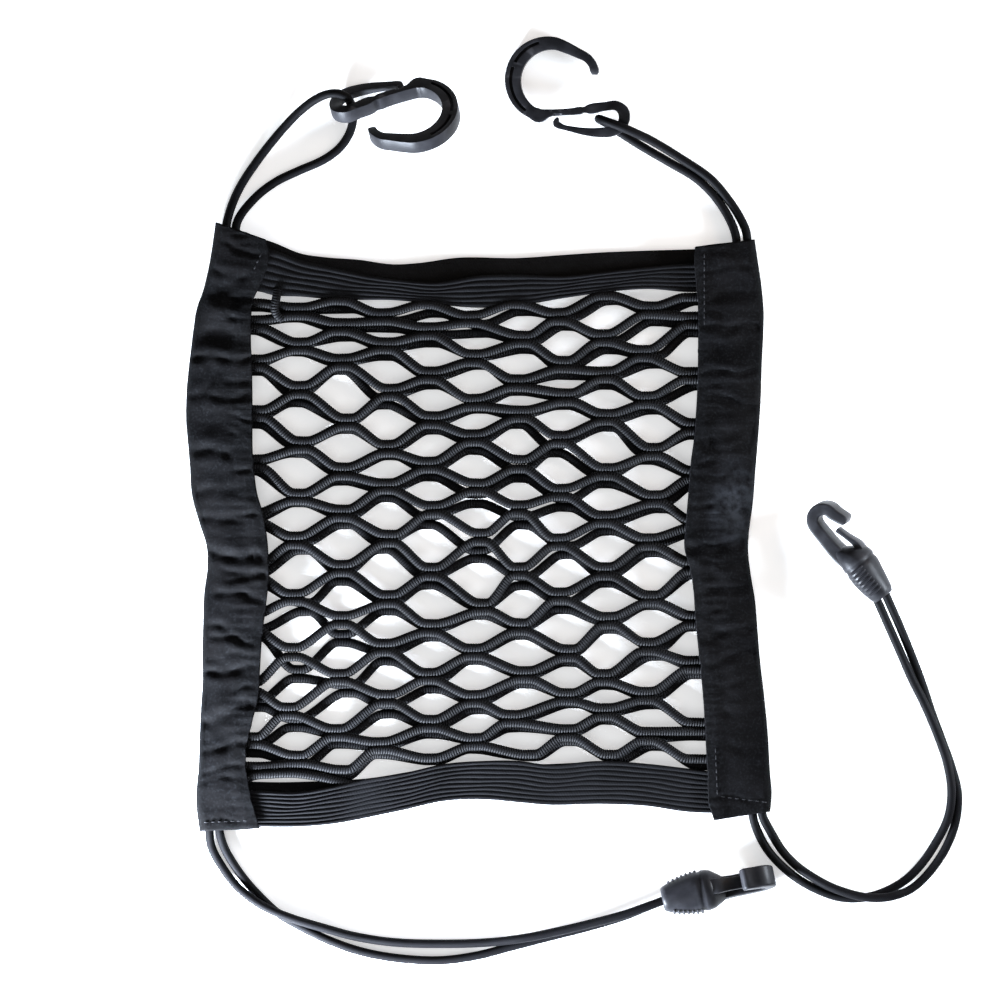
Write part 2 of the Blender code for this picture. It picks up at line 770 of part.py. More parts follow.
def build_c_hook(name, material, parts):
    hook = loft_bar(name, c_hook_stations(), False, 0, material, parts)
    place_hook(hook, name)
    return hook


def snap_hook_stations():
    stations = list(SNAP_BODY)
    for i in range(SNAP_CURL_STEPS):
        angle = math.radians(SNAP_CURL_TURN * i / (SNAP_CURL_STEPS - 1))
        stations.append((
            SNAP_CURL["along"] + SNAP_CURL["radius"] * math.sin(angle),
            SNAP_CURL["across"] + SNAP_CURL["radius"] * math.cos(angle),
            SNAP_CURL["width"],
            SNAP_CURL["thick"],
        ))
    return stations + list(SNAP_LIP)


def build_snap_hook(name, material, parts, cutters):
    """Sleeve, bar and lip in one bar, joined with the spring gate."""
    hook = loft_bar(name, snap_hook_stations(), True, len(SNAP_BODY), material, parts)
    gate = loft_bar(name + "_gate", SNAP_GATE, False, 0, material, cutters)
    gate.hide_render = True
    gate.display_type = "WIRE"
    union = hook.modifiers.new("gate", "BOOLEAN")
    union.operation = "UNION"
    union.object = gate
    place_hook(hook, name)
    place_hook(gate, name)
    return hook


# ---------------------------------------------------------------- assembly
def main():
    for existing in list(bpy.data.objects):
        bpy.data.objects.remove(existing)
    parts = bpy.data.collections.new("car_seat_storage_net")
    cutters = bpy.data.collections.new("joining_shapes")
    bpy.context.scene.collection.children.link(parts)
    bpy.context.scene.collection.children.link(cutters)
    finish = {name: make_material(name) for name in FINISHES}

    net_cord = finish["black_net_cord"]
    build_net("net_back", NET_BACK_Z, BACK_SHIFT, (TOP_BACK, BOTTOM_BACK), net_cord, parts)
    build_net("net_front", NET_FRONT_Z, (0.0, 0.0), (TOP_FRONT, BOTTOM_FRONT), net_cord, parts)

    build_band("side_band_left", LEFT_BAND, finish["black_band_cloth"], parts)
    build_band("side_band_right", RIGHT_BAND, finish["black_band_cloth"], parts)

    front_z = NET_FRONT_Z + NET_THICK / 2
    back_z = NET_BACK_Z + NET_THICK / 2
    elastic = finish["black_elastic"]
    build_elastic("elastic_top_front", TOP_FRONT, front_z, elastic, parts)
    build_elastic("elastic_top_back", TOP_BACK, back_z, elastic, parts)
    build_elastic("elastic_bottom_front", BOTTOM_FRONT, front_z, elastic, parts)
    build_elastic("elastic_bottom_back", BOTTOM_BACK, back_z, elastic, parts)

    bungee = finish["black_bungee"]
    build_cord("bungee_upper_left", ROUTE_UPPER_LEFT, bungee, parts)
    build_cord("bungee_upper_right", ROUTE_UPPER_RIGHT, bungee, parts)
    build_cord("bungee_lower_left_a", ROUTE_LOWER_LEFT_A, bungee, parts)
    build_cord("bungee_lower_left_b", ROUTE_LOWER_LEFT_B, bungee, parts)
    build_cord("bungee_lower_right_a", ROUTE_LOWER_RIGHT_A, bungee, parts)
    build_cord("bungee_lower_right_b", ROUTE_LOWER_RIGHT_B, bungee, parts)

    plastic = finish["black_plastic"]
    build_c_hook("hook_upper_left", plastic, parts)
    build_c_hook("hook_upper_right", plastic, parts)
    build_snap_hook("hook_lower_left", plastic, parts, cutters)
    build_snap_hook("hook_lower_right", plastic, parts, cutters)


main()
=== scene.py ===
"""Car seat storage net, laid flat: its cords, net, bands, elastic and hooks, finished."""
import math
import random

import bmesh
import bpy
import numpy as np
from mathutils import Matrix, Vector, noise
from mathutils.geometry import interpolate_bezier


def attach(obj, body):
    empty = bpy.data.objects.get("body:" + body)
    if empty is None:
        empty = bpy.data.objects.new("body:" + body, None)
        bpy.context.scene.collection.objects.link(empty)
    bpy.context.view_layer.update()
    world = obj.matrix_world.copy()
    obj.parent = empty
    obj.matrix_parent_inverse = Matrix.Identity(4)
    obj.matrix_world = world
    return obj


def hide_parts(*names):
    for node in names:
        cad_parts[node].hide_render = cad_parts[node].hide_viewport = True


MM = 0.001
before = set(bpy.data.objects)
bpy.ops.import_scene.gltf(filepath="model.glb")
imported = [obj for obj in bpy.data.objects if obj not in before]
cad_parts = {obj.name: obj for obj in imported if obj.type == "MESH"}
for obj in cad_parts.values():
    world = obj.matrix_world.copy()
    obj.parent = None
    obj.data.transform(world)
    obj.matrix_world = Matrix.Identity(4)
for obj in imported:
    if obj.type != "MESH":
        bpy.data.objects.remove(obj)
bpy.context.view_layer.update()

# Sizes and tables are in millimetres, apart from those that say otherwise.
CORD = 4.4
CORD_STEP = 1.5  # between the points of a cord's path
CORD_SIDES = 16

# ---- side bands
BAND_LOW = 0.5  # the lower ply's height
BAND_HIGH = 8.55  # the upper ply's height over the net
BAND_THICK = 0.9
BAND_ROWS = 280
UNDER_COLUMNS, FOLD_COLUMNS, UPPER_COLUMNS = 9, 8, 52
FIRST_UPPER = UNDER_COLUMNS + FOLD_COLUMNS
PLY_GAP = 2.2  # the upper ply never comes closer than this to the lower one
TUCK = 7.0  # how far the strands' ends run in under a band
STEP_ROOM = 1.5  # from the strands' ends to where the upper ply steps down
EDGE_ROLL = 0.55  # how much fuller a band is along its inner edge
ROLL_REACH = 4.0
ROLL_FADE = 6.0
GATHER_REACH = 7.0  # how far the gathers reach from the elastic's seam

# Rows down each band: its outer and inner edge, how far the row leans, how high the folded
# side stands and how much the cloth bulges between the creases.
BAND_COLUMNS = ("y", "lean", "outer", "inner", "fold", "bulge")
LEFT_BAND = (
    (152.5, -8.8, -131.8, -106.5, 7.5, 0), (143.5, -7.5, -133, -104.8, 7.5, 0.2),
    (126, -3.5, -136, -108.5, 6.6, 0.8), (116.5, -1, -138.5, -112, 5.2, 0.1),
    (111.5, 1.5, -140.5, -113, 5.2, 1.2), (98, 0, -143, -114, 5.2, 0),
    (88, -1.5, -144.2, -113.8, 5.2, 1), (79, 2, -145.3, -113.5, 5.2, 0),
    (65, -1, -146.4, -113.2, 5.2, 0.9), (52, 0.5, -146.5, -113.2, 5.2, 0.1),
    (42, -1.5, -145.6, -113.2, 5.2, 1.1), (30, 0, -144.6, -112.5, 5.2, 0.2),
    (16.5, 1, -143.7, -111, 5.2, 0.6), (2.5, 2.5, -140, -107.5, 5.2, 0.1),
    (-10, 0.5, -136.2, -105.5, 5.2, 1.2), (-19, -2, -135.8, -105, 5.2, 0),
    (-33, 2, -137.5, -105.5, 5.2, 1), (-47, 3.5, -138, -107, 5.2, 0.2),
    (-61, 5, -138.4, -108.5, 5.2, 0.9), (-78, 6, -138.3, -109.5, 5.2, 0.1),
    (-92, 7, -139.2, -110.3, 5.2, 1), (-106, 7.5, -139.8, -113.6, 5.2, 0.2),
    (-119, 6, -140.2, -116.5, 6.6, 0.8), (-137, 3, -141.5, -114, 7.5, 0.1),
    (-152, 1.4, -139.8, -109.5, 7.5, 0),
)
RIGHT_BAND = (
    (143.8, -3.8, 137.9, 108, 7.5, 0), (134, -3, 139.3, 107.5, 7.5, 0.2),
    (121, -1, 141.2, 108.5, 6.6, 0.5), (107, 0.5, 142.4, 109.5, 5.2, 0.9),
    (97, -1.5, 142.2, 109.5, 5.2, 0.1), (80, 1, 141.4, 109.4, 5.2, 0.8),
    (64, 3, 140.9, 109, 5.2, 0.2), (46, -1, 139.7, 107.5, 5.2, 1.1),
    (30, 2, 138.4, 105.8, 5.2, 0.3), (12, 1, 137, 104.3, 5.2, 0.7),
    (-3, -1, 135, 102.8, 5.2, 1.3), (-10, 0, 134.6, 102.6, 5.2, 0),
    (-23, 2, 135.8, 105.5, 5.2, 0.9), (-36, 4, 138, 107.2, 5.2, 0.1),
    (-50, 3, 139.2, 108.2, 5.2, 1), (-66, 1.5, 140.5, 110, 5.2, 0.2),
    (-84, -1, 142.6, 112, 5.2, 0.8), (-104, -2, 144.5, 113.2, 5.2, 0.2),
    (-121, -3, 145.4, 114.2, 6.6, 0.4), (-135, -4, 146.3, 115, 7.5, 0.1),
    (-142, -4.5, 145.6, 117.5, 7.5, 0),
)

# ---- elastics
RIB_COLUMNS = 7  # points across one rib
ELASTIC_STEP = 1.6  # between the points along an elastic
ELASTIC_LEAST = 0.32  # half the thickness between two ribs
RIB_FULLNESS = 2.6  # the higher, the flatter a rib's top

# Elastic, from left to right: where its upper and lower edges lie.
EDGE_COLUMNS = ("x", "upper", "lower")
TOP_FRONT = (
    (-118.5, 139, 120.5), (-112, 139, 118.5), (-104, 138.5, 116), (-88.5, 132.8, 115),
    (-77, 130.3, 114), (-60, 126.3, 113.4), (-42, 123.5, 113.2), (-22, 122, 111.2),
    (0, 125.5, 109.5), (20, 126, 110.6), (42, 125.2, 114.2), (60, 127, 116.8),
    (85, 129.8, 118.8), (105, 131.5, 117.3), (115.5, 131.5, 117.5),
)
TOP_BACK = (
    (-112, 145, 118), (-104, 142.7, 116.5), (-88.5, 136.6, 115.5), (-77, 134.9, 114.5),
    (-60, 133.6, 113.9), (-42, 131.3, 113.7), (-30, 132, 112.5), (-12, 134.5, 110.5),
    (20, 134.5, 111), (42, 136, 114.6), (60, 137.2, 117.2), (85, 138.2, 119.2),
    (105, 138.8, 117.8), (115.5, 139.2, 118),
)
BOTTOM_FRONT = (
    (-121, -132, -149.5), (-108, -132, -149.8), (-92, -132.6, -149.8), (-72, -129.3, -148.2),
    (-55, -125.7, -145), (-36, -122.5, -141), (-18, -118.4, -137), (2, -116.8, -136.1),
    (20, -116.8, -137.6), (34, -118.6, -138.8), (60, -116.8, -138.4), (85, -118.3, -139.5),
    (103, -120.4, -142.2), (121, -122.6, -143),
)
BOTTOM_BACK = (
    (-121, -127, -146), (-100, -127.5, -147), (-80, -127, -146.5), (-55, -125.5, -143),
    (-30, -121.5, -138), (0, -117.5, -134.5), (30, -118.5, -136.5), (60, -117.5, -136.5),
    (95, -119.8, -139), (121, -122.8, -141.5),
)

# ---- hooks
# The C hook, round its own middle. A row is (x, y, width, thickness) of the bar: first the
# tip, then the arc, then the shank with its eye and its clip.
C_TIP = (
    (23.4, 2.4, 2.6, 5), (23.4, 3.4, 3.8, 6), (22.6, 6.8, 4.1, 7), (20.2, 10.2, 4.4, 7),
    (14.5, 13.4, 5, 7), (8.6, 16.2, 5.8, 7),
)
C_RADIUS = 18.3
C_WIDTH = 6.3
C_THICK = 7.0
C_FROM_DEG = 78.0
C_TO_DEG = 246.0
C_STEPS = 11
C_EXTRA_WIDE = 1.7  # how much wider the arc is halfway round
C_FULLER = 1.15  # the bar's thickness, times what its rows say
C_STATION = 1.15  # from one station of the bar to the next
C_STRIPS = (0.0, 0.27, 0.48, 1.0)  # shares of its width; one strip takes the grooves
GROOVES = ((104.0, 151.0), (160.0, 236.0))  # degrees round the arc
GROOVE_DEEP = 3.0
GROOVE_SPAN = (0.02, 0.23)  # shares of the width, outwards from the middle
C_SHANK = (
    (-5, -17.9, 7.2, 7), (0.5, -16.8, 3.8, 7), (6, -16.4, 3.2, 7), (13.5, -15.9, 3.5, 7),
    (16.6, -15.4, 3.6, 7), (18, -15.2, 2.6, 7), (19.6, -15, 4, 7), (28.5, -13.5, 4.4, 7),
    (34.5, -13.2, 4.8, 7), (37.6, -15.8, 5.6, 6.4), (38.2, -19.6, 5.4, 4.8),
    (36.4, -23.4, 5.2, 3.8), (32, -25.8, 5.2, 3.6), (25, -26.5, 4.6, 3.6), (18.5, -26, 3.8, 3.6),
    (11, -24.6, 2.8, 3.6), (8, -23.9, 2.6, 3.6), (5.4, -22.9, 3.4, 3.6), (4.1, -21.9, 3.6, 3.6),
    (4.3, -20.4, 2.6, 3.6), (5, -19, 1, 3.6),
)

# The snap hook, from the cord's end of the sleeve to the lip: rows of (along, across, width,
# thickness). `across` is negative on the side that the hook opens to.
SNAP_START = ((-2.4, -0.2, 8.4, 9.4), (-2.1, -0.2, 10.4, 11.4), (-1.0, -0.2, 11.8, 12.9))
SNAP_BODY = (
    (0, -0.2, 12.6, 13.8), (3, -0.2, 14, 15.8), (9, -0.3, 16, 18.8), (15, -0.8, 17.2, 20.4),
    (20, -1, 17, 20.6), (23.5, -0.6, 15.6, 19), (25.6, 0.6, 13, 16.4), (28, 2.2, 9.6, 13.4),
    (30, 3.4, 6.8, 10.6),
)
SNAP_STATION = 1.0
# The groove round the sleeve: where it lies, half its breadth, and its waist as a share.
SNAP_SEAM = 17.6
SEAM_HALF = 0.55
SEAM_WAIST = 0.95
# Where the grip ribs lie; half a rib's size along and deep, its whole size across, and how
# far it's sunk into the sleeve.
SLEEVE_RIBS = (2.4, 4.7, 7.0, 9.3, 11.6, 13.9, 16.2)
RIB = {"along": 0.82, "across": 9.4, "deep": 1.15, "sunk": 0.35}
SNAP_ARM = (
    (21, 2.4, 7.2, 11.6), (27.4, 3.7, 7.2, 11.4), (33, 4.3, 6.8, 10.8), (40, 4.5, 6.4, 10.8),
)
SNAP_CURL = {"along": 46.2, "across": -1.2, "radius": 5.7, "width": 6.2, "thick": 10.8}
SNAP_LIP = (
    (43.4, -7.9, 5.6, 10.8), (41.2, -8.8, 5.4, 10.8), (39.6, -9.6, 4.9, 10.8),
    (38.5, -10.2, 3.6, 10.4),
)
SNAP_GATE = (
    (21.5, -6, 4.4, 8), (26, -6.6, 3.4, 7.6), (32, -4.9, 2.3, 6.6), (38.6, -2.9, 2.3, 6.4),
)

# Where the hooks lie: (x, y, z, roll, pitch, heading), in mm and degrees.
HOOK_PLACES = {
    "hook_upper_left": (-31.0, 205.0, 20.6, 41.0, 0.0, 194.5),
    "hook_upper_right": (34.5, 223.5, 6.0, 0.0, -3.2, 0.0),
    "hook_lower_left": (93.8, -185.6, 8.6, -101.0, 0.0, 11.9),
    "hook_lower_right": (200.6, -33.0, 12.1, -20.0, 2.5, 128.0),
}

# ---- cords
# Bungee routes, (x, y, z) along each cord's middle, from the net outwards.
ROUTE_UPPER_LEFT = (
    (-126.4, 141, 4), (-125.8, 153, 4), (-120.3, 168.2, 3), (-110.6, 183.3, 2.6),
    (-99.2, 197.6, 3.8), (-88.5, 208.5, 7.6), (-78.9, 214.8, 12.2), (-71.5, 216.4, 14.6),
    (-66.2, 214.6, 12.6), (-63.9, 211.2, 8.2), (-62.9, 206.9, 4.5), (-63.6, 200, 2.9),
    (-66.2, 194, 2.5), (-71, 188.2, 2.4), (-78.7, 183, 2.4), (-90.2, 178, 2.4),
    (-101.6, 172.5, 2.5), (-112.2, 164.2, 3), (-120.8, 152.5, 4), (-121.4, 141, 4),
)
ROUTE_UPPER_RIGHT = (
    (133.9, 133, 4), (133.8, 146, 4), (131, 153.5, 3.8), (125, 163, 3.4), (115.6, 174, 4.2),
    (101, 184, 5.2), (86.5, 192.7, 8.2), (78, 196.7, 11.2), (71.6, 199.4, 12.7),
    (65.4, 201.8, 12.5), (61.4, 203.3, 10.8), (59.8, 203.9, 7.5), (60.8, 203.3, 4.2),
    (64.4, 201.4, 2.7), (68.4, 198.6, 2.5), (73.2, 195.4, 2.5), (81.8, 190, 2.5),
    (95.6, 182, 2.5), (108.2, 174.5, 2.5), (117.3, 165.9, 2.6), (124.6, 155, 3.4),
    (128.4, 145, 4), (128.8, 133, 4),
)
ROUTE_LOWER_LEFT_A = (
    (-134.8, -138, 4), (-134.8, -151, 4), (-133.8, -159.5, 2.8), (-129.6, -168, 2.4),
    (-122.2, -178.2, 3.2), (-112.8, -186.2, 6.3), (-103.6, -191.4, 7.4), (-93, -195.6, 7.2),
    (-80, -199.6, 5.3), (-62, -204.6, 2.5), (-42, -207.6, 2.4), (-18, -208.3, 2.4),
    (4, -207.6, 3.8), (22, -205.4, 6.9), (38, -202.2, 7.9), (54, -198.4, 8.9),
    (72, -193.6, 10.3), (84, -189.4, 10.7), (93.2, -186, 10.7),
)
ROUTE_LOWER_LEFT_B = (
    (-129.8, -138, 4), (-129.8, -151, 4), (-127.6, -159.5, 2.8), (-123.2, -167.6, 2.4),
    (-117, -176.4, 2.3), (-109.6, -184.6, 2.3), (-101, -192.6, 2.3), (-90, -199.2, 2.3),
    (-74, -207, 2.4), (-58, -212.4, 2.4), (-40, -215.6, 2.4), (-20, -216.6, 2.4),
    (-2, -214.4, 2.4), (16, -209.8, 2.4), (36, -204.6, 2.7), (54, -200, 3.6), (72, -194.6, 5),
    (84, -189.8, 5.6), (93.2, -186.2, 5.6),
)
ROUTE_LOWER_RIGHT_A = (
    (136.4, -130, 4), (136.7, -143.5, 4), (139.4, -152.4, 2.8), (144, -161, 2.4),
    (150.6, -168.6, 2.4), (159, -175.6, 2.4), (168.6, -181, 2.4), (180, -185, 2.4),
    (191, -185.4, 2.4), (202, -182.6, 2.4), (212.6, -176.8, 2.4), (221, -168.6, 2.4),
    (228.2, -158, 2.4), (234.2, -145.6, 4.6), (236, -132.4, 6.6), (234, -118.4, 7.3),
    (229.4, -104.6, 7.3), (222.8, -89, 7), (216.2, -75.6, 6), (210.5, -62.6, 6.4),
    (204.9, -50.2, 8.5), (199.6, -38.3, 10.2), (198.6, -36.2, 10.5),
)
ROUTE_LOWER_RIGHT_B = (
    (141.3, -130, 4), (141.5, -143.5, 4), (145.8, -152.4, 3.4), (151.3, -161.4, 2.8),
    (158.1, -168.8, 2.7), (165.8, -174.4, 4), (175.5, -179.7, 6), (186.4, -183.5, 7.3),
    (196, -185.2, 7.4), (206.4, -184.4, 6.9), (216.9, -180.2, 4), (226, -171.4, 2.4),
    (233.8, -159.4, 2.4), (238.4, -146.4, 2.4), (239.3, -133, 2.4), (236, -119.6, 2.4),
    (231.1, -106, 2.4), (225.9, -91.8, 2.4), (221, -76.9, 2.8), (215.5, -62.6, 5),
    (209.6, -48.4, 8.2), (204.2, -36.4, 10.4), (202.7, -32.9, 10.8),
)

# Each cord: its route, where it comes out of the net, what its far end holds, its hook.
CORDS = (
    ("bungee_upper_left", ROUTE_UPPER_LEFT, (-126.0, 151.0, 4.0), "object",
     "hook_upper_left"),
    ("bungee_upper_right", ROUTE_UPPER_RIGHT, (133.9, 144.0, 4.0), "object",
     "hook_upper_right"),
    ("bungee_lower_left_a", ROUTE_LOWER_LEFT_A, (-134.8, -151.5, 4.0), "fitting",
     "hook_lower_left"),
    ("bungee_lower_left_b", ROUTE_LOWER_LEFT_B, (-129.8, -151.5, 4.0), "fitting",
     "hook_lower_left"),
    ("bungee_lower_right_a", ROUTE_LOWER_RIGHT_A, (136.7, -143.0, 4.0), "fitting",
     "hook_lower_right"),
    ("bungee_lower_right_b", ROUTE_LOWER_RIGHT_B, (141.5, -143.0, 4.0), "fitting",
     "hook_lower_right"),
)

# ---- net
STRANDS = 20
STRAND_WIDE = 4.7
STRAND_HIGH = 2.9
STRAND_SIDES = 10
THREAD_SWELL = 0.05  # how much the thread's turns stand out, as a share of the strand
MEETING_HALF = 2.1  # from the middle of a meeting to either strand's middle
MEETING_FLAT = 3.6  # how far a strand runs level on each side of a meeting
LOOSE_WIDE = 4.4
LOOSE_STEP = 0.8
STRAND_READ = 0.25  # a strand's height is worked out this often along x
STRAND_SET_IN = 0.5  # the strands' ends stop short of TUCK by this much
SOFTEN_REACH = 16  # points to each side over which a strand's corners are softened
SOFTEN_WIDE = 6.5
# The two layers of strands: which way each is offset, the seed and the reach of its small
# sideways places, the step along a strand, how far a strand wanders and where its noise is
# read, and its middle's height.
LAYERS = {
    "net_front": {"way": 1.0, "seed": 3, "reach": 0.8, "step": 0.65, "wander": 0.6,
                  "noise_from": 0.0, "middle": 6.2},
    "net_back": {"way": -1.0, "seed": 5, "reach": 1.6, "step": 1.6, "wander": 0.9,
                 "noise_from": 50.0, "middle": 2.85},
}
FRONT_MIDDLE = LAYERS["net_front"]["middle"]
BACK_MIDDLE = LAYERS["net_back"]["middle"]
# How high each pair of neighbouring strands meets, from the top elastic down. The rows
# alternate between six meetings and five, 44 mm apart and staggered by half of that.
MEETING_START = -112.0
MEETING_STEP = 22.0
MEETINGS = (
    (113, 113, 111, 111.5, 116.5, 116),
    (107, 103, 101.5, 104, 106.5),
    (101, 98.5, 96, 92, 92.5, 101),
    (90, 89, 83.5, 79.5, 85),
    (81, 81.3, 74.5, 71, 74.5, 74),
    (66.5, 65, 61.5, 64, 62),
    (55, 51.5, 52, 55, 53.5, 49),
    (40, 38.5, 42.5, 41.5, 36.5),
    (31, 26.5, 29, 29, 25.7, 25),
    (14.5, 18.5, 17, 14.5, 12.5),
    (4, 5, 6, 6, 2, 0.5),
    (-8, -7.5, -9.5, -9.5, -9),
    (-24, -22.5, -24.5, -24.5, -24, -20.5),
    (-37.5, -38, -41, -37, -36.5),
    (-50, -51, -51.5, -51, -48, -47),
    (-68, -62.5, -63.3, -64, -61),
    (-84, -78, -76.5, -75, -76, -70.5),
    (-95, -88.5, -87.5, -85.5, -85.5),
    (-109, -104.5, -100, -97, -93.5, -101),
    (-118, -110.5, -108, -103.8, -106),
    (-123.5, -125, -118, -116.5, -117, -119.5),
)
# Short runs of the net's cord outside the rows: beside the top of the left band, and along
# the edge above the bottom elastic.
LOOSE_RUNS = (
    ((-100.5, 119, 6.4), (-101.3, 114, 7.4), (-102, 110, 7.6), (-101, 106, 7), (-98, 103.5, 6.4)),
    ((-119, -128.5, 6.6), (-113, -124.5, 6.8), (-104, -123.5, 6.8), (-92, -123.2, 6.6),
     (-80, -124.8, 6.2), (-70, -127.2, 5), (-60, -130, 4.2)),
)
# Meetings that lie further to one side than the rest: (row, place) and how far.
MEETING_SHIFTS = {
    (19, 3): 7.0, (18, 3): 4.0, (19, 4): 3.0, (17, 3): -3.0, (16, 3): 3.0, (15, 3): 4.0,
    (17, 1): -3.0, (18, 1): -3.0, (13, 0): -2.0, (14, 0): -3.0, (16, 0): -3.0, (1, 3): 3.0,
    (5, 1): 2.0, (10, 2): 2.0, (14, 3): 3.0, (12, 2): 3.0, (8, 4): 4.0, (6, 3): -3.0,
}
# How far the back layer lies below the front one and to its right, over the net: the height
# of each row, then (below, right) at six places across.
LAYER_X = (-90.0, -68.0, -46.0, -2.0, 42.0, 86.0)
LAYER_OFFSETS = (
    (112, (2, 0), (4, 3), (4, 4), (4, 3), (3, 0), (2, 4)),
    (103, (1, -3), (3, 5), (4, 5), (5, 3), (2.5, 4), (4.5, 2)),
    (85, (1, 0), (2, 0), (3, 0), (1.5, 2), (4, 1), (3, 5)),
    (66, (4.5, -1), (1.5, 0), (4.5, -2), (1, 2), (1.5, -2), (3, 5)),
    (40, (2, -4), (2, -2), (1, 1), (4.5, 1), (5, -2), (2, -4)),
    (15, (1, 1), (3, 2), (4, 2), (6, -1), (5, 3), (3, 4)),
    (-9, (3, 2), (4, 0), (3.5, -2), (9, -2), (4, 4), (3, 1)),
    (-31, (4.5, 4), (4, 3), (4, -2), (3, -1), (5.5, 2), (1.5, 0)),
    (-50.7, (6, 4), (9.5, 2), (3, 0), (1, 0), (3, 0), (1.5, 0)),
    (-66, (11.5, 2), (6, 2), (5, 3), (1.5, 0), (2, 0), (3, 3)),
    (-80, (9, 3), (6, 3), (5.5, 3), (3.5, 2), (1, 0), (2.5, 4)),
    (-96, (6, 4), (4, 0), (5.5, 1), (3, 2), (2, 2), (2.5, 3)),
    (-112, (4, 2), (3.5, 0), (2, 0), (1, 0), (2, 2), (3, 3)),
)

# ---- creases
# Each crease of a band: (x, y) of its two ends, how deep it lies, how wide it is.
LEFT_CREASES = (
    (-133, 114, -113, 113, 1.3, 1.5), (-143, 97, -114, 94.5, 0.8, 3.2),
    (-145, 85, -113, 84, 1.1, 1.3), (-145, 65.5, -114, 64.5, 0.8, 1.4),
    (-133, 78.5, -139, 61, 0.7, 1.4), (-124, 54.5, -107, 53.5, 0.8, 0.8),
    (-122, 51, -107, 50, 0.8, 0.8), (-124, 47.5, -107, 46.5, 0.8, 0.8),
    (-146, 39, -124, 37, 1.5, 1.9), (-143, 17, -118, 20, 0.8, 1.6),
    (-141, 3.5, -110, 6, 0.8, 1.5), (-136, -13, -108, -16, 1.9, 1.8),
    (-130, -20.5, -106, -24.5, 0.9, 1.2), (-127, -26, -107, -25, 0.8, 1),
    (-132, -32, -108, -36, 1.1, 1.4), (-133, -54.5, -113, -58, 1.3, 1.1),
    (-137, -49, -119, -52, 0.7, 1.3), (-138, -74, -112, -69.5, 1.3, 1.3),
    (-139, -99, -112, -87, 1.7, 2.4), (-139, -112, -113, -107.5, 1.1, 1.1),
    (-140, -123.5, -117, -118, 0.7, 0.9), (-141, -128, -121, -124, 0.6, 0.8),
    (-137, -146.8, -117, -146, 0.5, 0.7), (-131, 143, -109, 135, 0.5, 1),
    (-135, 129, -114, 124, 0.7, 1.4), (-126, 106, -115, 103, 0.7, 1),
    (-127, 74, -115, 72, 0.8, 0.9), (-125, 29, -113, 27.5, 0.8, 0.9),
    (-124, -82, -111, -80, 0.8, 0.9), (-126, -64, -110, -63.5, 0.7, 0.8),
)
RIGHT_CREASES = (
    (141, 99, 112, 100, 1.3, 1.3), (142, 91, 110, 88.5, 0.9, 3.2), (141, 78, 111, 77, 1.3, 0.9),
    (140, 58.5, 114, 66, 1.1, 1.4), (139, 47, 110, 42.5, 1.3, 2.6),
    (139, 40.5, 118, 38, 0.9, 1.4), (137, 23.5, 106, 26, 0.7, 1.1), (134, -8, 103, -12, 2, 1.8),
    (135, -19, 110, -17, 0.8, 1), (137, -29, 108, -33.5, 1.1, 1.2),
    (139, -49, 112, -56, 1.3, 1.3), (140, -62, 114, -68.5, 1.2, 1.3),
    (141, -77, 118, -79.5, 0.6, 1.2), (143, -94, 120, -92, 0.6, 1.6),
    (144, -112, 122, -109, 0.5, 1.5), (146, -136.4, 116, -135, 0.5, 0.7),
    (141, 118, 112, 113, 0.8, 1.5), (140, 131, 111, 128, 0.5, 1.2),
    (122, 107, 110, 106, 0.7, 0.9), (121, 70, 110, 69, 0.7, 0.8), (122, 33, 107, 31.5, 0.7, 0.8),
    (121, 12, 105, 10.5, 0.7, 0.8), (121, -41, 108, -43, 0.7, 0.8),
)
CREASE_WIDER = (1.15, 0.45)  # a crease's width, times the first and plus the second
CREASE_DEPTH = 0.85  # a crease's depth, times what its row says
CREASE_TAPER = 7.0  # how long a crease takes to fade at each end
CREASE_OVERRUN = 3.0  # how far it runs on beyond its row's ends
CREASE_RIDGE = 0.4  # how high its ridges stand against its depth

# ---- elastics and stitches
# Each elastic: its edges, its middle's height, how many ribs it has and how far they stand
# out, that again at places along it as (x, share), its finish, and how far it waves.
ELASTICS = (
    ("elastic_top_front", TOP_FRONT, FRONT_MIDDLE, 6, 0.5,
     ((-112, 0.7), (-95, 0.9), (-60, 0.8), (-30, 1.0), (60, 1.0), (115, 0.8)),
     "elastic", 0.2),
    ("elastic_top_back", TOP_BACK, BACK_MIDDLE, 7, 0.2,
     ((-112, 0.5), (115, 0.5)), "elastic_back", 0.15),
    ("elastic_bottom_front", BOTTOM_FRONT, FRONT_MIDDLE, 9, 0.55,
     ((-121, 1.5), (-75, 1.5), (-62, 0.5), (-50, 0.6), (-38, 1.2), (10, 0.95), (40, 0.6),
      (70, 0.8), (121, 0.8)), "elastic", 0.25),
    ("elastic_bottom_back", BOTTOM_BACK, BACK_MIDDLE, 8, 0.2,
     ((-121, 0.5), (121, 0.5)), "elastic_back", 0.15),
)
# Rows of stitches on the bands: (x, y) of both ends.
LEFT_SEAMS = (
    (-108.5, 137, -112.6, 128), (-137.5, -147.5, -115, -146.5),
)
RIGHT_SEAMS = (
    (112.5, 137, 112.5, 100), (118, -110, 119, -134), (144, -137.5, 120, -134.5),
)
# A stitch takes up this part of its pitch and stands this high over the cloth.
STITCH = {"pitch": 3.1, "start": 0.12, "end": 0.80, "rise": 0.5, "thick": 0.42}

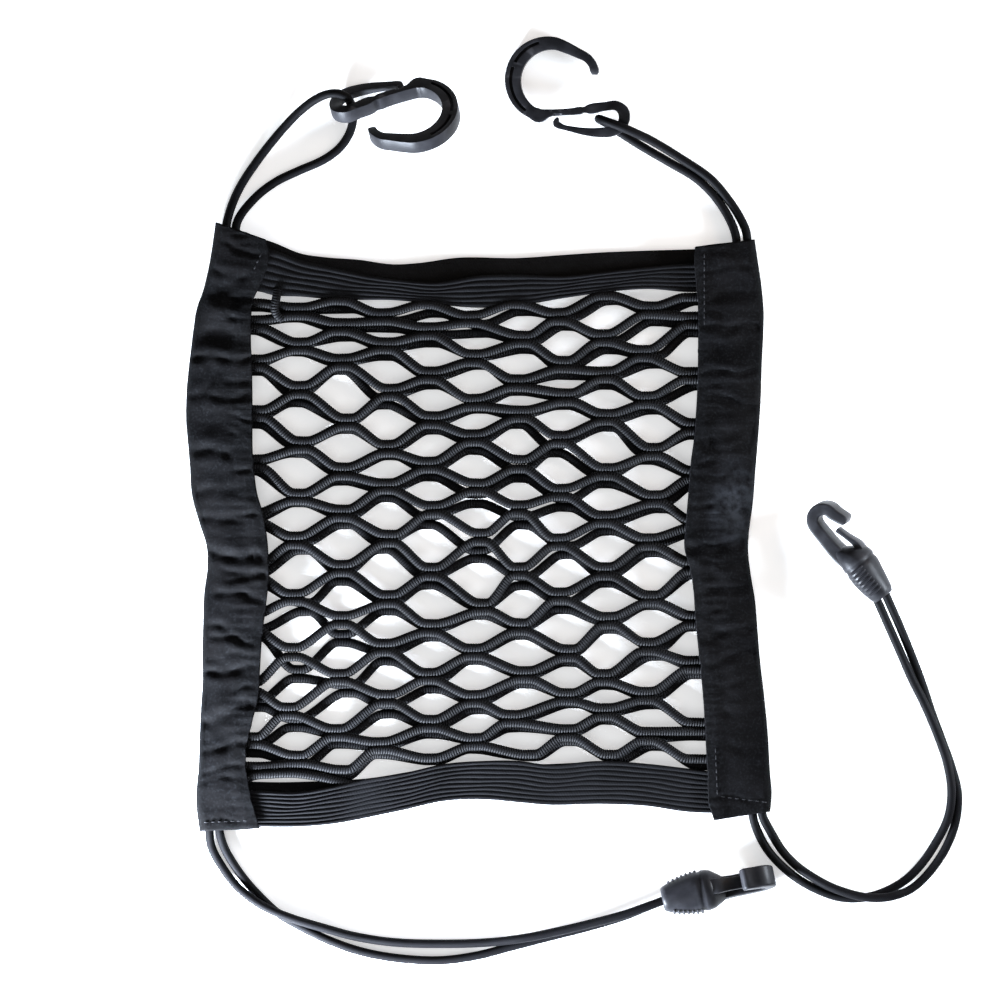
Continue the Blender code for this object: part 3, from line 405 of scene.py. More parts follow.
# ---- light, and a painted sheen
# Each lamp: (name, place, aim, size, power, colour), in metres and watts.
LIGHTS = (
    ("overhead_light", (-0.45, -1.15, 2.1), (0.0, 0.0, 0.0), (1.3, 1.3), 11.0,
     (1.0, 1.0, 1.0)),
    ("low_left_light", (-0.30, -0.42, 0.10), (-0.15, -0.06, 0.0), (0.20, 0.08), 50.0,
     (0.78, 0.87, 1.0)),
    ("low_right_light", (0.52, 0.03, 0.13), (0.12, -0.01, 0.0), (0.15, 0.08), 5.5,
     (0.82, 0.90, 1.0)),
    ("warm_right_light", (0.75, 0.55, 0.45), (0.1, 0.0, 0.0), (0.5, 0.4), 3.0,
     (1.0, 0.78, 0.62)),
)
SKY_COLOUR = (0.95, 0.97, 1.0, 1.0)
SKY_STRENGTH = 0.34
FLOOR_GLOW = 0.45
FLOOR_ACROSS = 60.0  # in metres, like the camera's place
CAMERA_PLACE = (0.0105, 0.0135, 6.0)
# Where a painted sheen lightens the right band's cloth, in metres: its middle and its reach.
SHEEN_PATCH_MIDDLE = (0.1280, 0.0120, 0.009)
SHEEN_PATCH_REACH = (0.0125, 0.0180, 1.0)


# ---- small tools
def column(rows, columns, name):
    place = columns.index(name)
    return np.array([row[place] for row in rows])


def read_smooth(keys, values, at):
    """A smooth reading of a table between its rows, held at its ends."""
    order = np.argsort(keys)
    keys = np.asarray(keys, float)[order]
    values = np.asarray(values, float)[order]
    slope = np.gradient(values, keys)
    at = np.clip(at, keys[0], keys[-1])
    low = np.clip(np.searchsorted(keys, at, side="right") - 1, 0, len(keys) - 2)
    step = keys[low + 1] - keys[low]
    t = (at - keys[low]) / step
    return (
        (2 * t**3 - 3 * t**2 + 1) * values[low]
        + (t**3 - 2 * t**2 + t) * step * slope[low]
        + (3 * t**2 - 2 * t**3) * values[low + 1]
        + (t**3 - t**2) * step * slope[low + 1]
    )


def ease(share):
    share = np.clip(share, 0.0, 1.0)
    return share * share * (3 - 2 * share)


def smooth_route(route, step):
    """Points `step` mm apart on the smooth curve through a route."""
    points = [Vector(p) for p in route]
    dense = []
    for i in range(len(points) - 1):
        before = points[max(i - 1, 0)]
        start, end = points[i], points[i + 1]
        after = points[min(i + 2, len(points) - 1)]
        reach = (end - start).length
        handle_a = start + (end - before).normalized() * reach / 3.0
        handle_b = end - (after - start).normalized() * reach / 3.0
        dense += interpolate_bezier(start, handle_a, handle_b, end, 24)[:-1]
    dense.append(points[-1])
    return even_path(np.array([tuple(p) for p in dense]), step)


def even_path(points, step):
    """The same line with its points an even step apart."""
    run = np.concatenate(([0.0], np.cumsum(np.linalg.norm(np.diff(points, axis=0), axis=1))))
    count = max(2, int(round(run[-1] / step)) + 1)
    at = np.linspace(0.0, run[-1], count)
    return np.stack([np.interp(at, run, points[:, k]) for k in range(3)], axis=1)


class Shape:
    """Points, faces and cloth coordinates of one piece, gathered before its mesh is made."""

    def __init__(self):
        self.points, self.faces, self.lay = [], [], []
        self.count = 0

    def add_grid(self, grid, lay, closed=False):
        """A grid of points; `lay` has one more column than a closed grid does."""
        rows, columns = grid.shape[:2]
        last = columns if closed else columns - 1
        for r in range(rows - 1):
            for c in range(last):
                n = (c + 1) % columns
                self.faces.append(tuple(
                    self.count + i
                    for i in (r * columns + c, r * columns + n,
                              (r + 1) * columns + n, (r + 1) * columns + c)
                ))
                self.lay += [lay[r][c], lay[r][c + 1], lay[r + 1][c + 1], lay[r + 1][c]]
        self.points.append(grid.reshape(-1, 3))
        self.count += rows * columns

    def add_caps(self, rows, columns, lay):
        """Closes both ends of the closed grid that was added last."""
        start = self.count - rows * columns
        self.faces.append(tuple(start + c for c in reversed(range(columns))))
        self.lay += [lay[0][c] for c in reversed(range(columns))]
        self.faces.append(tuple(start + (rows - 1) * columns + c for c in range(columns)))
        self.lay += [lay[-1][c] for c in range(columns)]

    def make(self, name, material):
        mesh = bpy.data.meshes.new(name)
        points = np.concatenate(self.points) * MM
        mesh.from_pydata(points.tolist(), [], self.faces)
        layer = mesh.uv_layers.new(name="lay")
        layer.data.foreach_set("uv", np.array(self.lay, float).reshape(-1))
        mesh.polygons.foreach_set("use_smooth", [True] * len(mesh.polygons))
        mesh.materials.append(material)
        made = bpy.data.objects.new(name, mesh)
        bpy.context.scene.collection.objects.link(made)
        turn_outwards(made)
        return made


def turn_outwards(made):
    shape = bmesh.new()
    shape.from_mesh(made.data)
    bmesh.ops.recalc_face_normals(shape, faces=shape.faces)
    shape.to_mesh(made.data)
    shape.free()


def add_tube(shape, path, wide, high, sides, swell=None):
    """A tube of elliptical section along a path; `swell` scales the section at each point."""
    count = len(path)
    ahead = np.gradient(path, axis=0)
    ahead /= np.linalg.norm(ahead, axis=1)[:, None]
    aside = np.zeros_like(ahead)
    side = Vector((-ahead[0][1], ahead[0][0], 0.0)).normalized()
    for i in range(count):
        direction = Vector(ahead[i])
        side = (side - direction * side.dot(direction)).normalized()
        aside[i] = side
    up = np.cross(ahead, aside)
    turn = 2 * np.pi * np.arange(sides) / sides
    swell = np.ones(count) if swell is None else swell
    spread = np.cos(turn)[None, :] * (wide / 2 * swell)[:, None]
    rise = np.sin(turn)[None, :] * (high / 2 * swell)[:, None]
    sideways = aside[:, None, :] * spread[..., None]
    upwards = up[:, None, :] * rise[..., None]
    grid = path[:, None, :] + sideways + upwards
    run = np.concatenate(([0.0], np.cumsum(np.linalg.norm(np.diff(path, axis=0), axis=1))))
    lay = [[(run[i], k / sides) for k in range(sides + 1)] for i in range(count)]
    shape.add_grid(grid, lay, closed=True)
    shape.add_caps(count, sides, lay)


# ---- camera, floor and light
def set_camera():
    data = bpy.data.cameras.new("camera")
    data.sensor_width = 36.0
    data.lens = 432.0
    data.clip_end = 100.0
    camera = bpy.data.objects.new("camera", data)
    camera.location = CAMERA_PLACE
    bpy.context.scene.collection.objects.link(camera)
    bpy.context.scene.camera = camera


def add_light(name, place, aim, size, power, colour):
    data = bpy.data.lights.new(name, "AREA")
    data.shape = "RECTANGLE"
    data.size, data.size_y = size
    data.energy = power
    data.color = colour
    light = bpy.data.objects.new(name, data)
    light.location = place
    direction = Vector(aim) - Vector(place)
    light.rotation_euler = direction.to_track_quat("-Z", "Y").to_euler()
    light.visible_camera = False
    bpy.context.scene.collection.objects.link(light)


def set_stage():
    bpy.ops.object.select_all(action="DESELECT")
    bpy.ops.mesh.primitive_plane_add(size=FLOOR_ACROSS, location=(0.0, 0.0, 0.0))
    floor = bpy.context.object
    floor.name = "floor"
    floor.data.materials.append(floor_finish())
    world = bpy.data.worlds.new("studio")
    world.use_nodes = True
    sky = world.node_tree.nodes["Background"]
    sky.inputs["Color"].default_value = SKY_COLOUR
    sky.inputs["Strength"].default_value = SKY_STRENGTH
    bpy.context.scene.world = world
    for lamp in LIGHTS:
        add_light(*lamp)
    scene = bpy.context.scene
    scene.view_settings.view_transform = "Standard"
    scene.view_settings.look = "None"


# ---- finishes
def new_group(name, inputs, outputs):
    """An empty node group with its sockets: (name, kind, starting value)."""
    group = bpy.data.node_groups.new(name, "ShaderNodeTree")
    for label, kind, value in inputs:
        made = group.interface.new_socket(label, in_out="INPUT", socket_type=kind)
        if value is not None:
            made.default_value = value
    for label, kind in outputs:
        group.interface.new_socket(label, in_out="OUTPUT", socket_type=kind)
    return group, group.nodes.new("NodeGroupInput"), group.nodes.new("NodeGroupOutput")


def add_node(tree, kind, inputs=None, **settings):
    """A node with its settings, its values, and links to what feeds it."""
    made = tree.nodes.new(kind)
    for name, value in settings.items():
        setattr(made, name, value)
    for key, value in (inputs or {}).items():
        socket = made.inputs[key]
        if isinstance(value, bpy.types.NodeSocket):
            tree.links.new(value, socket)
        else:
            socket.default_value = value
    return made


def ranged(tree, value, low, high):
    """0 below `low`, 1 above `high`, and evenly from one to the other between them."""
    return add_node(
        tree, "ShaderNodeMapRange", {"Value": value, "From Min": low, "From Max": high}
    ).outputs[0]


def maths(tree, operation, first, second=0.0):
    return add_node(tree, "ShaderNodeMath", {0: first, 1: second}, operation=operation).outputs[0]


def wave(tree, value, pitch):
    """0 to 1 and back once in every pitch."""
    turned = maths(tree, "MULTIPLY", maths(tree, "DIVIDE", value, pitch), math.pi)
    return maths(tree, "ABSOLUTE", maths(tree, "SINE", turned))


def blend_colours(tree, share, first, second):
    return add_node(
        tree, "ShaderNodeMix", {0: share, 6: first, 7: second}, data_type="RGBA"
    ).outputs[2]


def make_weave_group():
    """Crossed threads: their height, from the cloth's own coordinates in mm."""
    group, given, result = new_group(
        "crossed_threads",
        (("Lay", "NodeSocketVector", None), ("Pitch", "NodeSocketFloat", 0.6)),
        (("Height", "NodeSocketFloat"),),
    )
    parts = add_node(group, "ShaderNodeSeparateXYZ", {0: given.outputs["Lay"]})
    along = wave(group, parts.outputs[0], given.outputs["Pitch"])
    across = wave(group, parts.outputs[1], given.outputs["Pitch"])
    group.links.new(maths(group, "MULTIPLY", along, across), result.inputs["Height"])
    return group


def make_ribs_group():
    """Ribs across a cord, leaning a little, from its own coordinates."""
    group, given, result = new_group(
        "ribs_across",
        (("Lay", "NodeSocketVector", None), ("Pitch", "NodeSocketFloat", 1.3),
         ("Lean", "NodeSocketFloat", 0.0)),
        (("Height", "NodeSocketFloat"),),
    )
    parts = add_node(group, "ShaderNodeSeparateXYZ", {0: given.outputs["Lay"]})
    lean = maths(group, "MULTIPLY", parts.outputs[1], given.outputs["Lean"])
    place = maths(group, "ADD", parts.outputs[0], lean)
    group.links.new(wave(group, place, given.outputs["Pitch"]), result.inputs["Height"])
    return group


def make_patch_group():
    """Soft uneven patches over a piece, from where they lie on it."""
    group, given, result = new_group(
        "soft_patches",
        (("Size", "NodeSocketFloat", 60.0), ("Low", "NodeSocketFloat", 0.35),
         ("High", "NodeSocketFloat", 0.65)),
        (("Mask", "NodeSocketFloat"),),
    )
    place = add_node(group, "ShaderNodeTexCoord")
    cloud = add_node(
        group, "ShaderNodeTexNoise",
        {"Vector": place.outputs["Object"], "Scale": given.outputs["Size"], "Detail": 4.0},
    )
    mask = ranged(group, cloud.outputs[0], given.outputs["Low"], given.outputs["High"])
    group.links.new(mask, result.inputs["Mask"])
    return group


def make_painted_sheen_group():
    """A soft patch of painted sheen that lightens the cloth, at a place on the object."""
    group, given, result = new_group(
        "painted_sheen_patch",
        (("Middle", "NodeSocketVector", None), ("Reach", "NodeSocketVector", None)),
        (("Mask", "NodeSocketFloat"),),
    )
    place = add_node(group, "ShaderNodeTexCoord").outputs["Object"]
    off = add_node(group, "ShaderNodeVectorMath", {0: place, 1: given.outputs["Middle"]},
                   operation="SUBTRACT").outputs["Vector"]
    share = add_node(group, "ShaderNodeVectorMath", {0: off, 1: given.outputs["Reach"]},
                     operation="DIVIDE").outputs["Vector"]
    length = add_node(group, "ShaderNodeVectorMath", {0: share}, operation="LENGTH")
    inside = ranged(group, length.outputs["Value"], 1.3, 0.2)
    group.links.new(inside, result.inputs["Mask"])
    return group


def start_material(name, roughness, specular, sheen=0.0, sheen_roughness=0.5):
    """A material with its even numbers set on the shader itself."""
    made = bpy.data.materials.new(name)
    made.use_nodes = True
    shader = made.node_tree.nodes["Principled BSDF"]
    shader.inputs["Roughness"].default_value = roughness
    shader.inputs["Specular IOR Level"].default_value = specular
    shader.inputs["Sheen Weight"].default_value = sheen
    shader.inputs["Sheen Roughness"].default_value = sheen_roughness
    return made, made.node_tree, shader


def finish_off(tree, shader, colour, height, distance, strength):
    """Gives a finish its colour, and its relief from a height."""
    bump = add_node(
        tree, "ShaderNodeBump", {"Height": height, "Distance": distance, "Strength": strength}
    )
    tree.links.new(colour, shader.inputs["Base Color"])
    tree.links.new(bump.outputs[0], shader.inputs["Normal"])


def place_group(tree, name, **values):
    """A shared effect put into a finish; gives its one result."""
    return add_node(tree, "ShaderNodeGroup", values, node_tree=GROUPS[name]).outputs[0]


def soft_patches(tree, size, low, high):
    return place_group(tree, "patches", Size=size, Low=low, High=high)


def cloth_lay(tree):
    """The piece's own coordinates, in mm along it and across it."""
    return add_node(tree, "ShaderNodeUVMap", uv_map="lay").outputs[0]


def ribs_across(tree, pitch, lean):
    return place_group(tree, "ribs", Lay=cloth_lay(tree), Pitch=pitch, Lean=lean)


def painted_lit_top(tree, low, high):
    """1 on what faces upwards, 0 on the flanks: painted shade keeps the flanks deep black, and the
    top is painted lighter as if lit.
    """
    facing = add_node(tree, "ShaderNodeTexCoord").outputs["Normal"]
    up = add_node(tree, "ShaderNodeSeparateXYZ", {0: facing}).outputs[2]
    return ranged(tree, up, low, high)


def floor_finish():
    made, tree, shader = start_material("pale_floor", 0.9, 0.1)
    patches = soft_patches(tree, 3.0, 0.3, 0.7)
    colour = blend_colours(tree, patches, (0.86, 0.86, 0.86, 1), (0.89, 0.89, 0.89, 1))
    tree.links.new(colour, shader.inputs["Base Color"])
    shader.inputs["Emission Color"].default_value = (1.0, 1.0, 1.0, 1.0)
    shader.inputs["Emission Strength"].default_value = FLOOR_GLOW
    return made


def net_cord_finish():
    made, tree, shader = start_material("net_cord_black", 0.56, 0.06, 0.007, 0.45)
    ribs = ribs_across(tree, 1.3, 0.9)
    thread = blend_colours(tree, ribs, (0.001, 0.001, 0.0012, 1), (0.0058, 0.0058, 0.007, 1))
    worn = blend_colours(
        tree, soft_patches(tree, 90.0, 0.35, 0.7), thread, (0.003, 0.0028, 0.003, 1)
    )
    # Painted shade and light: the strand's flanks are painted near black and its top lighter, as
    # shade and light fall on it.
    colour = blend_colours(tree, painted_lit_top(tree, 0.35, 0.98), (0.0005, 0.0005, 0.0006, 1), worn)
    finish_off(tree, shader, colour, ribs, 0.00025, 0.9)
    return made


def band_finish():
    made, tree, shader = start_material("band_cloth_black", 0.70, 0.036, 0.006, 0.45)
    threads = place_group(tree, "weave", Lay=cloth_lay(tree), Pitch=0.55)
    flecks = soft_patches(tree, 900.0, 0.50, 0.78)
    cloth = blend_colours(
        tree, soft_patches(tree, 45.0, 0.35, 0.7),
        (0.0010, 0.0010, 0.0013, 1), (0.0024, 0.0022, 0.0024, 1),
    )
    woven = blend_colours(tree, flecks, cloth, (0.0065, 0.007, 0.008, 1))
    # Painted sheen: a lighter bluish patch on the right band, where a fold catches the light.
    inside = place_group(tree, "painted_sheen", Middle=SHEEN_PATCH_MIDDLE, Reach=SHEEN_PATCH_REACH)
    painted_sheen = maths(tree, "MULTIPLY", inside, soft_patches(tree, 260.0, 0.30, 0.62))
    colour = blend_colours(tree, painted_sheen, woven, (0.020, 0.022, 0.026, 1))
    height = maths(tree, "ADD", threads, maths(tree, "MULTIPLY", flecks, 0.8))
    finish_off(tree, shader, colour, height, 0.00012, 0.7)
    return made


def elastic_finish(name, groove, rib, specular, sheen):
    made, tree, shader = start_material(name, 0.66, specular, sheen, 0.45)
    stitches = ribs_across(tree, 0.8, 0.35)
    thread = blend_colours(tree, stitches, groove, rib)
    share = maths(tree, "MULTIPLY", soft_patches(tree, 70.0, 0.3, 0.7), 0.5)
    finish_off(tree, shader, blend_colours(tree, share, thread, groove), stitches, 0.00012, 0.8)
    return made


def bungee_finish():
    made, tree, shader = start_material("bungee_black", 0.55, 0.035, 0.003, 0.4)
    braid = maths(tree, "MULTIPLY", ribs_across(tree, 0.95, 7.6), ribs_across(tree, 0.95, -7.6))
    thread = blend_colours(
        tree, braid, (0.0015, 0.0015, 0.0018, 1), (0.0045, 0.0045, 0.0054, 1)
    )
    share = maths(tree, "MULTIPLY", soft_patches(tree, 40.0, 0.3, 0.7), 0.4)
    colour = blend_colours(tree, share, thread, (0.007, 0.0066, 0.0074, 1))
    finish_off(tree, shader, colour, braid, 0.00010, 0.6)
    return made


def plastic_finish():
    made, tree, shader = start_material("hook_plastic_black", 0.48, 0.085)
    grain = soft_patches(tree, 1400.0, 0.35, 0.65)
    scuffs = soft_patches(tree, 120.0, 0.45, 0.75)
    edge = add_node(tree, "ShaderNodeNewGeometry").outputs["Pointiness"]
    plain = blend_colours(tree, scuffs, (0.005, 0.005, 0.006, 1), (0.012, 0.012, 0.014, 1))
    colour = blend_colours(tree, ranged(tree, edge, 0.51, 0.62), plain, (0.036, 0.036, 0.040, 1))
    rough = add_node(
        tree, "ShaderNodeMapRange", {"Value": scuffs, "To Min": 0.38, "To Max": 0.52}
    )
    tree.links.new(rough.outputs[0], shader.inputs["Roughness"])
    finish_off(tree, shader, colour, grain, 0.00003, 0.5)
    return made


def seam_thread_finish():
    made, tree, shader = start_material("seam_thread_grey", 0.6, 0.15, 0.08, 0.4)
    twist = ribs_across(tree, 0.4, 0.8)
    colour = blend_colours(tree, twist, (0.003, 0.003, 0.004, 1), (0.008, 0.008, 0.0095, 1))
    finish_off(tree, shader, colour, twist, 0.00004, 0.8)
    return made


# ---- cords
def make_cord(node, route):
    path = smooth_route(route, CORD_STEP)
    shape = Shape()
    add_tube(shape, path, CORD, CORD, CORD_SIDES)
    cord = shape.make(node + "_cord", FINISH["bungee"])
    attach(cord, "root")
    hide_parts(node)


def make_cords():
    for node, route, exit_point, far_end, hook in CORDS:
        make_cord(node, route)


# ---- net layers
def layer_offset(x, y):
    """How far the back layer lies below the front one here, and to its right."""
    rows = [-row[0] for row in LAYER_OFFSETS]
    return [
        float(np.interp(-y, rows, [np.interp(x, LAYER_X, [place[way] for place in row[1:]])
                                   for row in LAYER_OFFSETS]))
        for way in (0, 1)
    ]


def meeting_shift(layer):
    """A small sideways place for every meeting, shared by the two strands that meet there."""
    chance, reach = random.Random(layer["seed"]), layer["reach"]
    return [
        [chance.uniform(-reach, reach) + MEETING_SHIFTS.get((row - 1, place), 0.0)
         for place in range(len(MEETINGS[row]))]
        for row in range(len(MEETINGS))
    ]


def inner_edge(band, y):
    return read_smooth(column(band, BAND_COLUMNS, "y"), column(band, BAND_COLUMNS, "inner"), y)


def strand_path(index, layer, shifts):
    """One strand from band to band, zigzagging between the meetings above and below it."""
    stops, heights = [], []
    for k in range(2 * len(MEETINGS[1]) + 1):
        odd_column = k % 2 == 0
        meeting = index if (index % 2 == 1) == odd_column else index - 1
        height = MEETINGS[meeting + 1][k // 2]
        side = 1.0 if meeting == index else -1.0
        x = MEETING_START + k * MEETING_STEP
        below, right = layer_offset(x, height)
        stops.append(x + shifts[meeting + 1][k // 2] - layer["way"] * right / 2)
        heights.append(height + layer["way"] * below / 2 + side * MEETING_HALF)
    stops, heights = np.array(stops), np.array(heights)
    start = inner_edge(LEFT_BAND, heights[0]) - TUCK + STRAND_SET_IN
    end = inner_edge(RIGHT_BAND, heights[-1]) + TUCK - STRAND_SET_IN
    x = np.arange(start, end, STRAND_READ)
    low = np.clip(np.searchsorted(stops, x) - 1, 0, len(stops) - 2)
    span = stops[low + 1] - stops[low]
    part = np.clip((x - stops[low] - MEETING_FLAT) / (span - 2 * MEETING_FLAT), 0.0, 1.0)
    share = 0.65 * part + 0.35 * ease(part)
    y = heights[low] + (heights[low + 1] - heights[low]) * share
    soften = np.exp(-(np.arange(-SOFTEN_REACH, SOFTEN_REACH + 1) / SOFTEN_WIDE) ** 2)
    y = np.convolve(np.pad(y, SOFTEN_REACH, mode="edge"), soften / soften.sum(), mode="valid")
    wobble = np.array([
        noise.noise(Vector((v * 0.045, index * 3.7 + layer["noise_from"], 0.0))) for v in x
    ])
    y = y + wobble * layer["wander"]
    z = layer["middle"] + 0.12 * np.sin(x * 0.14 + index)
    return even_path(np.stack([x, y, z], axis=1), layer["step"])


def make_net(node):
    layer, back = LAYERS[node], node == "net_back"
    shape = Shape()
    shifts = meeting_shift(layer)
    for index in range(STRANDS):
        path = strand_path(index, layer, shifts)
        swell = None if back else 1.0 + THREAD_SWELL * np.cos(np.pi * np.arange(len(path)))
        add_tube(shape, path, STRAND_WIDE, STRAND_HIGH, STRAND_SIDES, swell)
    if not back:
        for run in LOOSE_RUNS:
            add_tube(shape, smooth_route(run, LOOSE_STEP), LOOSE_WIDE, STRAND_HIGH, STRAND_SIDES)
    net = shape.make(node + "_strands", FINISH["net_cord"])
    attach(net, "root")
    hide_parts(node)


# ---- side bands
def crease_field(creases, x, y, seed):
    """Height of the creases over a band: a trough with a soft ridge on each side of it."""
    field = np.zeros_like(x)
    for number, (x0, y0, x1, y1, depth, width) in enumerate(creases):
        run = np.array((x1 - x0, y1 - y0))
        length = np.hypot(*run)
        run = run / length
        along = (x - x0) * run[0] + (y - y0) * run[1]
        off = -(x - x0) * run[1] + (y - y0) * run[0]
        off = off + 0.9 * np.sin(along * 0.25 + number) + 0.2 * np.sin(along * 0.6 + 2 * number)
        taper = (ease((along + CREASE_OVERRUN) / CREASE_TAPER)
                 * ease((length + CREASE_OVERRUN - along) / CREASE_TAPER))
        taper = taper * (0.75 + 0.25 * np.sin(along * 0.5 + 1.7 * number + seed))
        width = CREASE_WIDER[0] * width + CREASE_WIDER[1]
        dip = np.exp(-((off / width) ** 2))
        ridge = np.exp(-(((np.abs(off) - 2.0 * width) / (1.2 * width)) ** 2))
        field += CREASE_DEPTH * depth * taper * (CREASE_RIDGE * ridge - dip)
    return field


def band_section(outer, inner, fold, bulge):
    """The folded cloth's points across every row, and how much each belongs to the upper ply."""
    side = 1.0 if outer[0] > inner[0] else -1.0
    radius = (fold - BAND_LOW) / 2
    fold_x = outer - side * (radius + 0.5)
    step_x = inner + side * (TUCK + STEP_ROOM)
    places, heights, upper = [], [], []
    for share in np.linspace(0.0, 1.0, UNDER_COLUMNS):
        places.append(inner + (fold_x - inner) * share)
        heights.append(np.full_like(inner, BAND_LOW))
        upper.append(0.0)
    for turn in np.linspace(0.0, math.pi, FOLD_COLUMNS + 2)[1:-1]:
        places.append(fold_x + side * radius * math.sin(turn))
        heights.append(BAND_LOW + radius * (1 - math.cos(turn)))
        upper.append(ease(turn / math.pi) ** 2)
    step_share = (step_x - fold_x) / (inner - fold_x)
    for share in np.linspace(0.0, 1.0, UPPER_COLUMNS):
        part = np.clip(share / step_share, 0.0, 1.0)
        rise = (fold + (BAND_HIGH - fold) * (1.15 * part - 0.15 * part**2)
                + bulge * np.sin(np.pi * np.clip(part, 0, 1)) ** 1.5)
        places.append(fold_x + (inner - fold_x) * share)
        heights.append(np.minimum(rise, BAND_HIGH + bulge * 0.5))
        upper.append(1.0)
    return np.stack(places, axis=1), np.stack(heights, axis=1), np.array(upper)[None, :]


def cloth_noise(x, y, seed):
    """Long and short unevenness of the upper ply."""
    rough = np.zeros_like(x)
    for r in range(x.shape[0]):
        for c in range(FIRST_UPPER, x.shape[1]):
            px, py = x[r, c], y[r, c]
            rough[r, c] = (
                0.75 * noise.noise(Vector((px * 0.04, py * 0.08, seed)))
                + 0.12 * noise.noise(Vector((px * 0.12, py * 0.34, seed + 5.0)))
            )
    return rough


def gathered_seam(x, y, gather_at):
    """The puckers that the elastic's seam pulls into the cloth, and the seam's own groove."""
    gathers = np.exp(-(((x - gather_at) / GATHER_REACH) ** 2))
    pucker = np.sin(y * 1.55 + 1.3 * np.sin(y * 0.21)) * 0.17 + np.sin(y * 2.6 + 2.0) * 0.08
    pucker = pucker * (0.6 + 0.4 * np.sin(y * 0.13 + 1.0))
    return gathers * pucker, -0.05 * np.exp(-(((x - gather_at) / 0.9) ** 2))


def make_band(node, rows, creases, seed, gather_at):
    heights = column(rows, BAND_COLUMNS, "y")
    step = (heights.max() - heights.min()) / BAND_ROWS
    y0 = np.arange(heights.max(), heights.min() - 0.01, -step)
    lean, outer, inner, fold, bulge = [
        read_smooth(heights, column(rows, BAND_COLUMNS, name), y0) for name in BAND_COLUMNS[1:]
    ]
    x, z, weight = band_section(outer, inner, fold, bulge)
    slant = (x - outer[:, None]) / (inner - outer)[:, None]
    y = y0[:, None] + lean[:, None] * slant
    puckers, seam = gathered_seam(x, y, gather_at)
    field = crease_field(creases, x, y, seed) + cloth_noise(x, y, seed) + puckers + seam
    near_inner = 1.0 - ease((np.abs(x - inner[:, None]) - ROLL_REACH) / ROLL_FADE)
    field = field + EDGE_ROLL * near_inner
    z = z + field * weight
    over_net = (FRONT_MIDDLE - BAND_LOW) * np.minimum(1.0, 2.0 * near_inner)
    z = np.where(weight > 0.99, np.maximum(z, BAND_LOW + PLY_GAP + over_net), z)
    z = np.maximum(z, BAND_LOW)
    edge_noise = np.array([noise.noise(Vector((v * 0.22, seed, 9.0))) for v in y0])
    shift = weight * slant * edge_noise[:, None] * 0.5
    grid = np.stack([x + shift, y, z], axis=2)
    run = np.concatenate([
        np.zeros((x.shape[0], 1)),
        np.cumsum(np.hypot(np.diff(x, axis=1), np.diff(z, axis=1)), axis=1),
    ], axis=1)
    lay = [[(y0[r], run[r, c]) for c in range(x.shape[1])] for r in range(x.shape[0])]
    shape = Shape()
    shape.add_grid(grid, lay)
    band = shape.make(node + "_cloth", FINISH["band"])
    wall = band.modifiers.new("cloth_thickness", "SOLIDIFY")
    wall.thickness = BAND_THICK * MM
    wall.offset = 0.0
    bpy.context.view_layer.objects.active = band
    bpy.ops.object.modifier_apply(modifier=wall.name)
    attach(band, "root")
    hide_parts(node)
    return grid


# ---- elastic
def make_elastic(node, rows, middle, ribs, amount, fade, finish, waves):
    """A length of ribbed elastic; `fade` gives (x, how strongly the ribs stand) along it."""
    xs = column(rows, EDGE_COLUMNS, "x")
    x = np.arange(xs.min(), xs.max(), ELASTIC_STEP)
    upper = read_smooth(xs, column(rows, EDGE_COLUMNS, "upper"), x)
    lower = read_smooth(xs, column(rows, EDGE_COLUMNS, "lower"), x)
    strength = read_smooth([f[0] for f in fade], [f[1] for f in fade], x)
    count = ribs * RIB_COLUMNS + 1
    share = np.linspace(0.0, 1.0, count)
    hump = 1.0 - np.abs(2 * ((share * ribs) % 1.0) - 1.0) ** RIB_FULLNESS
    hump[0] = hump[-1] = 0.0
    half = ELASTIC_LEAST + amount * hump[None, :] * strength[:, None]
    lift = middle + waves * (
        np.sin(x * 0.11)[:, None] * 0.6
        + np.sin(x[:, None] * 0.23 + share[None, :] * 2.0) * 0.4
    )
    wander = 0.25 * np.sin(x[:, None] * 0.19 + share[None, :] * 9.0)
    y = upper[:, None] + (lower - upper)[:, None] * share[None, :] + wander * np.sin(np.pi * share)
    place_x = np.repeat(x[:, None], count, axis=1)
    top = np.stack([place_x, y, lift + half], axis=2)
    base = np.stack([place_x, y, lift - half], axis=2)[:, ::-1]
    grid = np.concatenate([top, base[:, 1:-1]], axis=1)
    run = np.concatenate([share, share[::-1][1:-1], [0.0]]) * float((upper - lower).mean())
    lay = [[(x[r], run[c]) for c in range(grid.shape[1] + 1)] for r in range(len(x))]
    shape = Shape()
    shape.add_grid(grid, lay, closed=True)
    shape.add_caps(len(x), grid.shape[1], lay)
    elastic = shape.make(node + "_ribbed", FINISH[finish])
    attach(elastic, "root")
    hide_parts(node)


# ---- hooks
def deselect_all():
    if bpy.context.object and bpy.context.object.mode != "OBJECT":
        bpy.ops.object.mode_set(mode="OBJECT")
    bpy.ops.object.select_all(action="DESELECT")


def choose(made):
    deselect_all()
    made.select_set(True)
    bpy.context.view_layer.objects.active = made


def apply_place(made):
    choose(made)
    bpy.ops.object.transform_apply(location=True, rotation=True, scale=True)


def pick_none(kind):
    """Leaves nothing of the mesh picked, and comes back to object mode."""
    bpy.ops.object.mode_set(mode="EDIT")
    bpy.ops.mesh.select_mode(type=kind)
    bpy.ops.mesh.select_all(action="DESELECT")
    bpy.ops.object.mode_set(mode="OBJECT")


def pick_points(made, wanted):
    """Goes to edit mode with just the points that `wanted` says yes to."""
    pick_none("VERT")
    for point in made.data.vertices:
        point.select = wanted(point.co / MM)
    bpy.ops.object.mode_set(mode="EDIT")


def pick_faces(made, wanted):
    """Goes to edit mode with just the faces that `wanted` says yes to."""
    pick_none("FACE")
    for face in made.data.polygons:
        face.select = wanted(face.center / MM, face.normal)
    bpy.ops.object.mode_set(mode="EDIT")


def move(offset):
    bpy.ops.transform.translate(value=tuple(v * MM for v in offset), orient_type="GLOBAL")


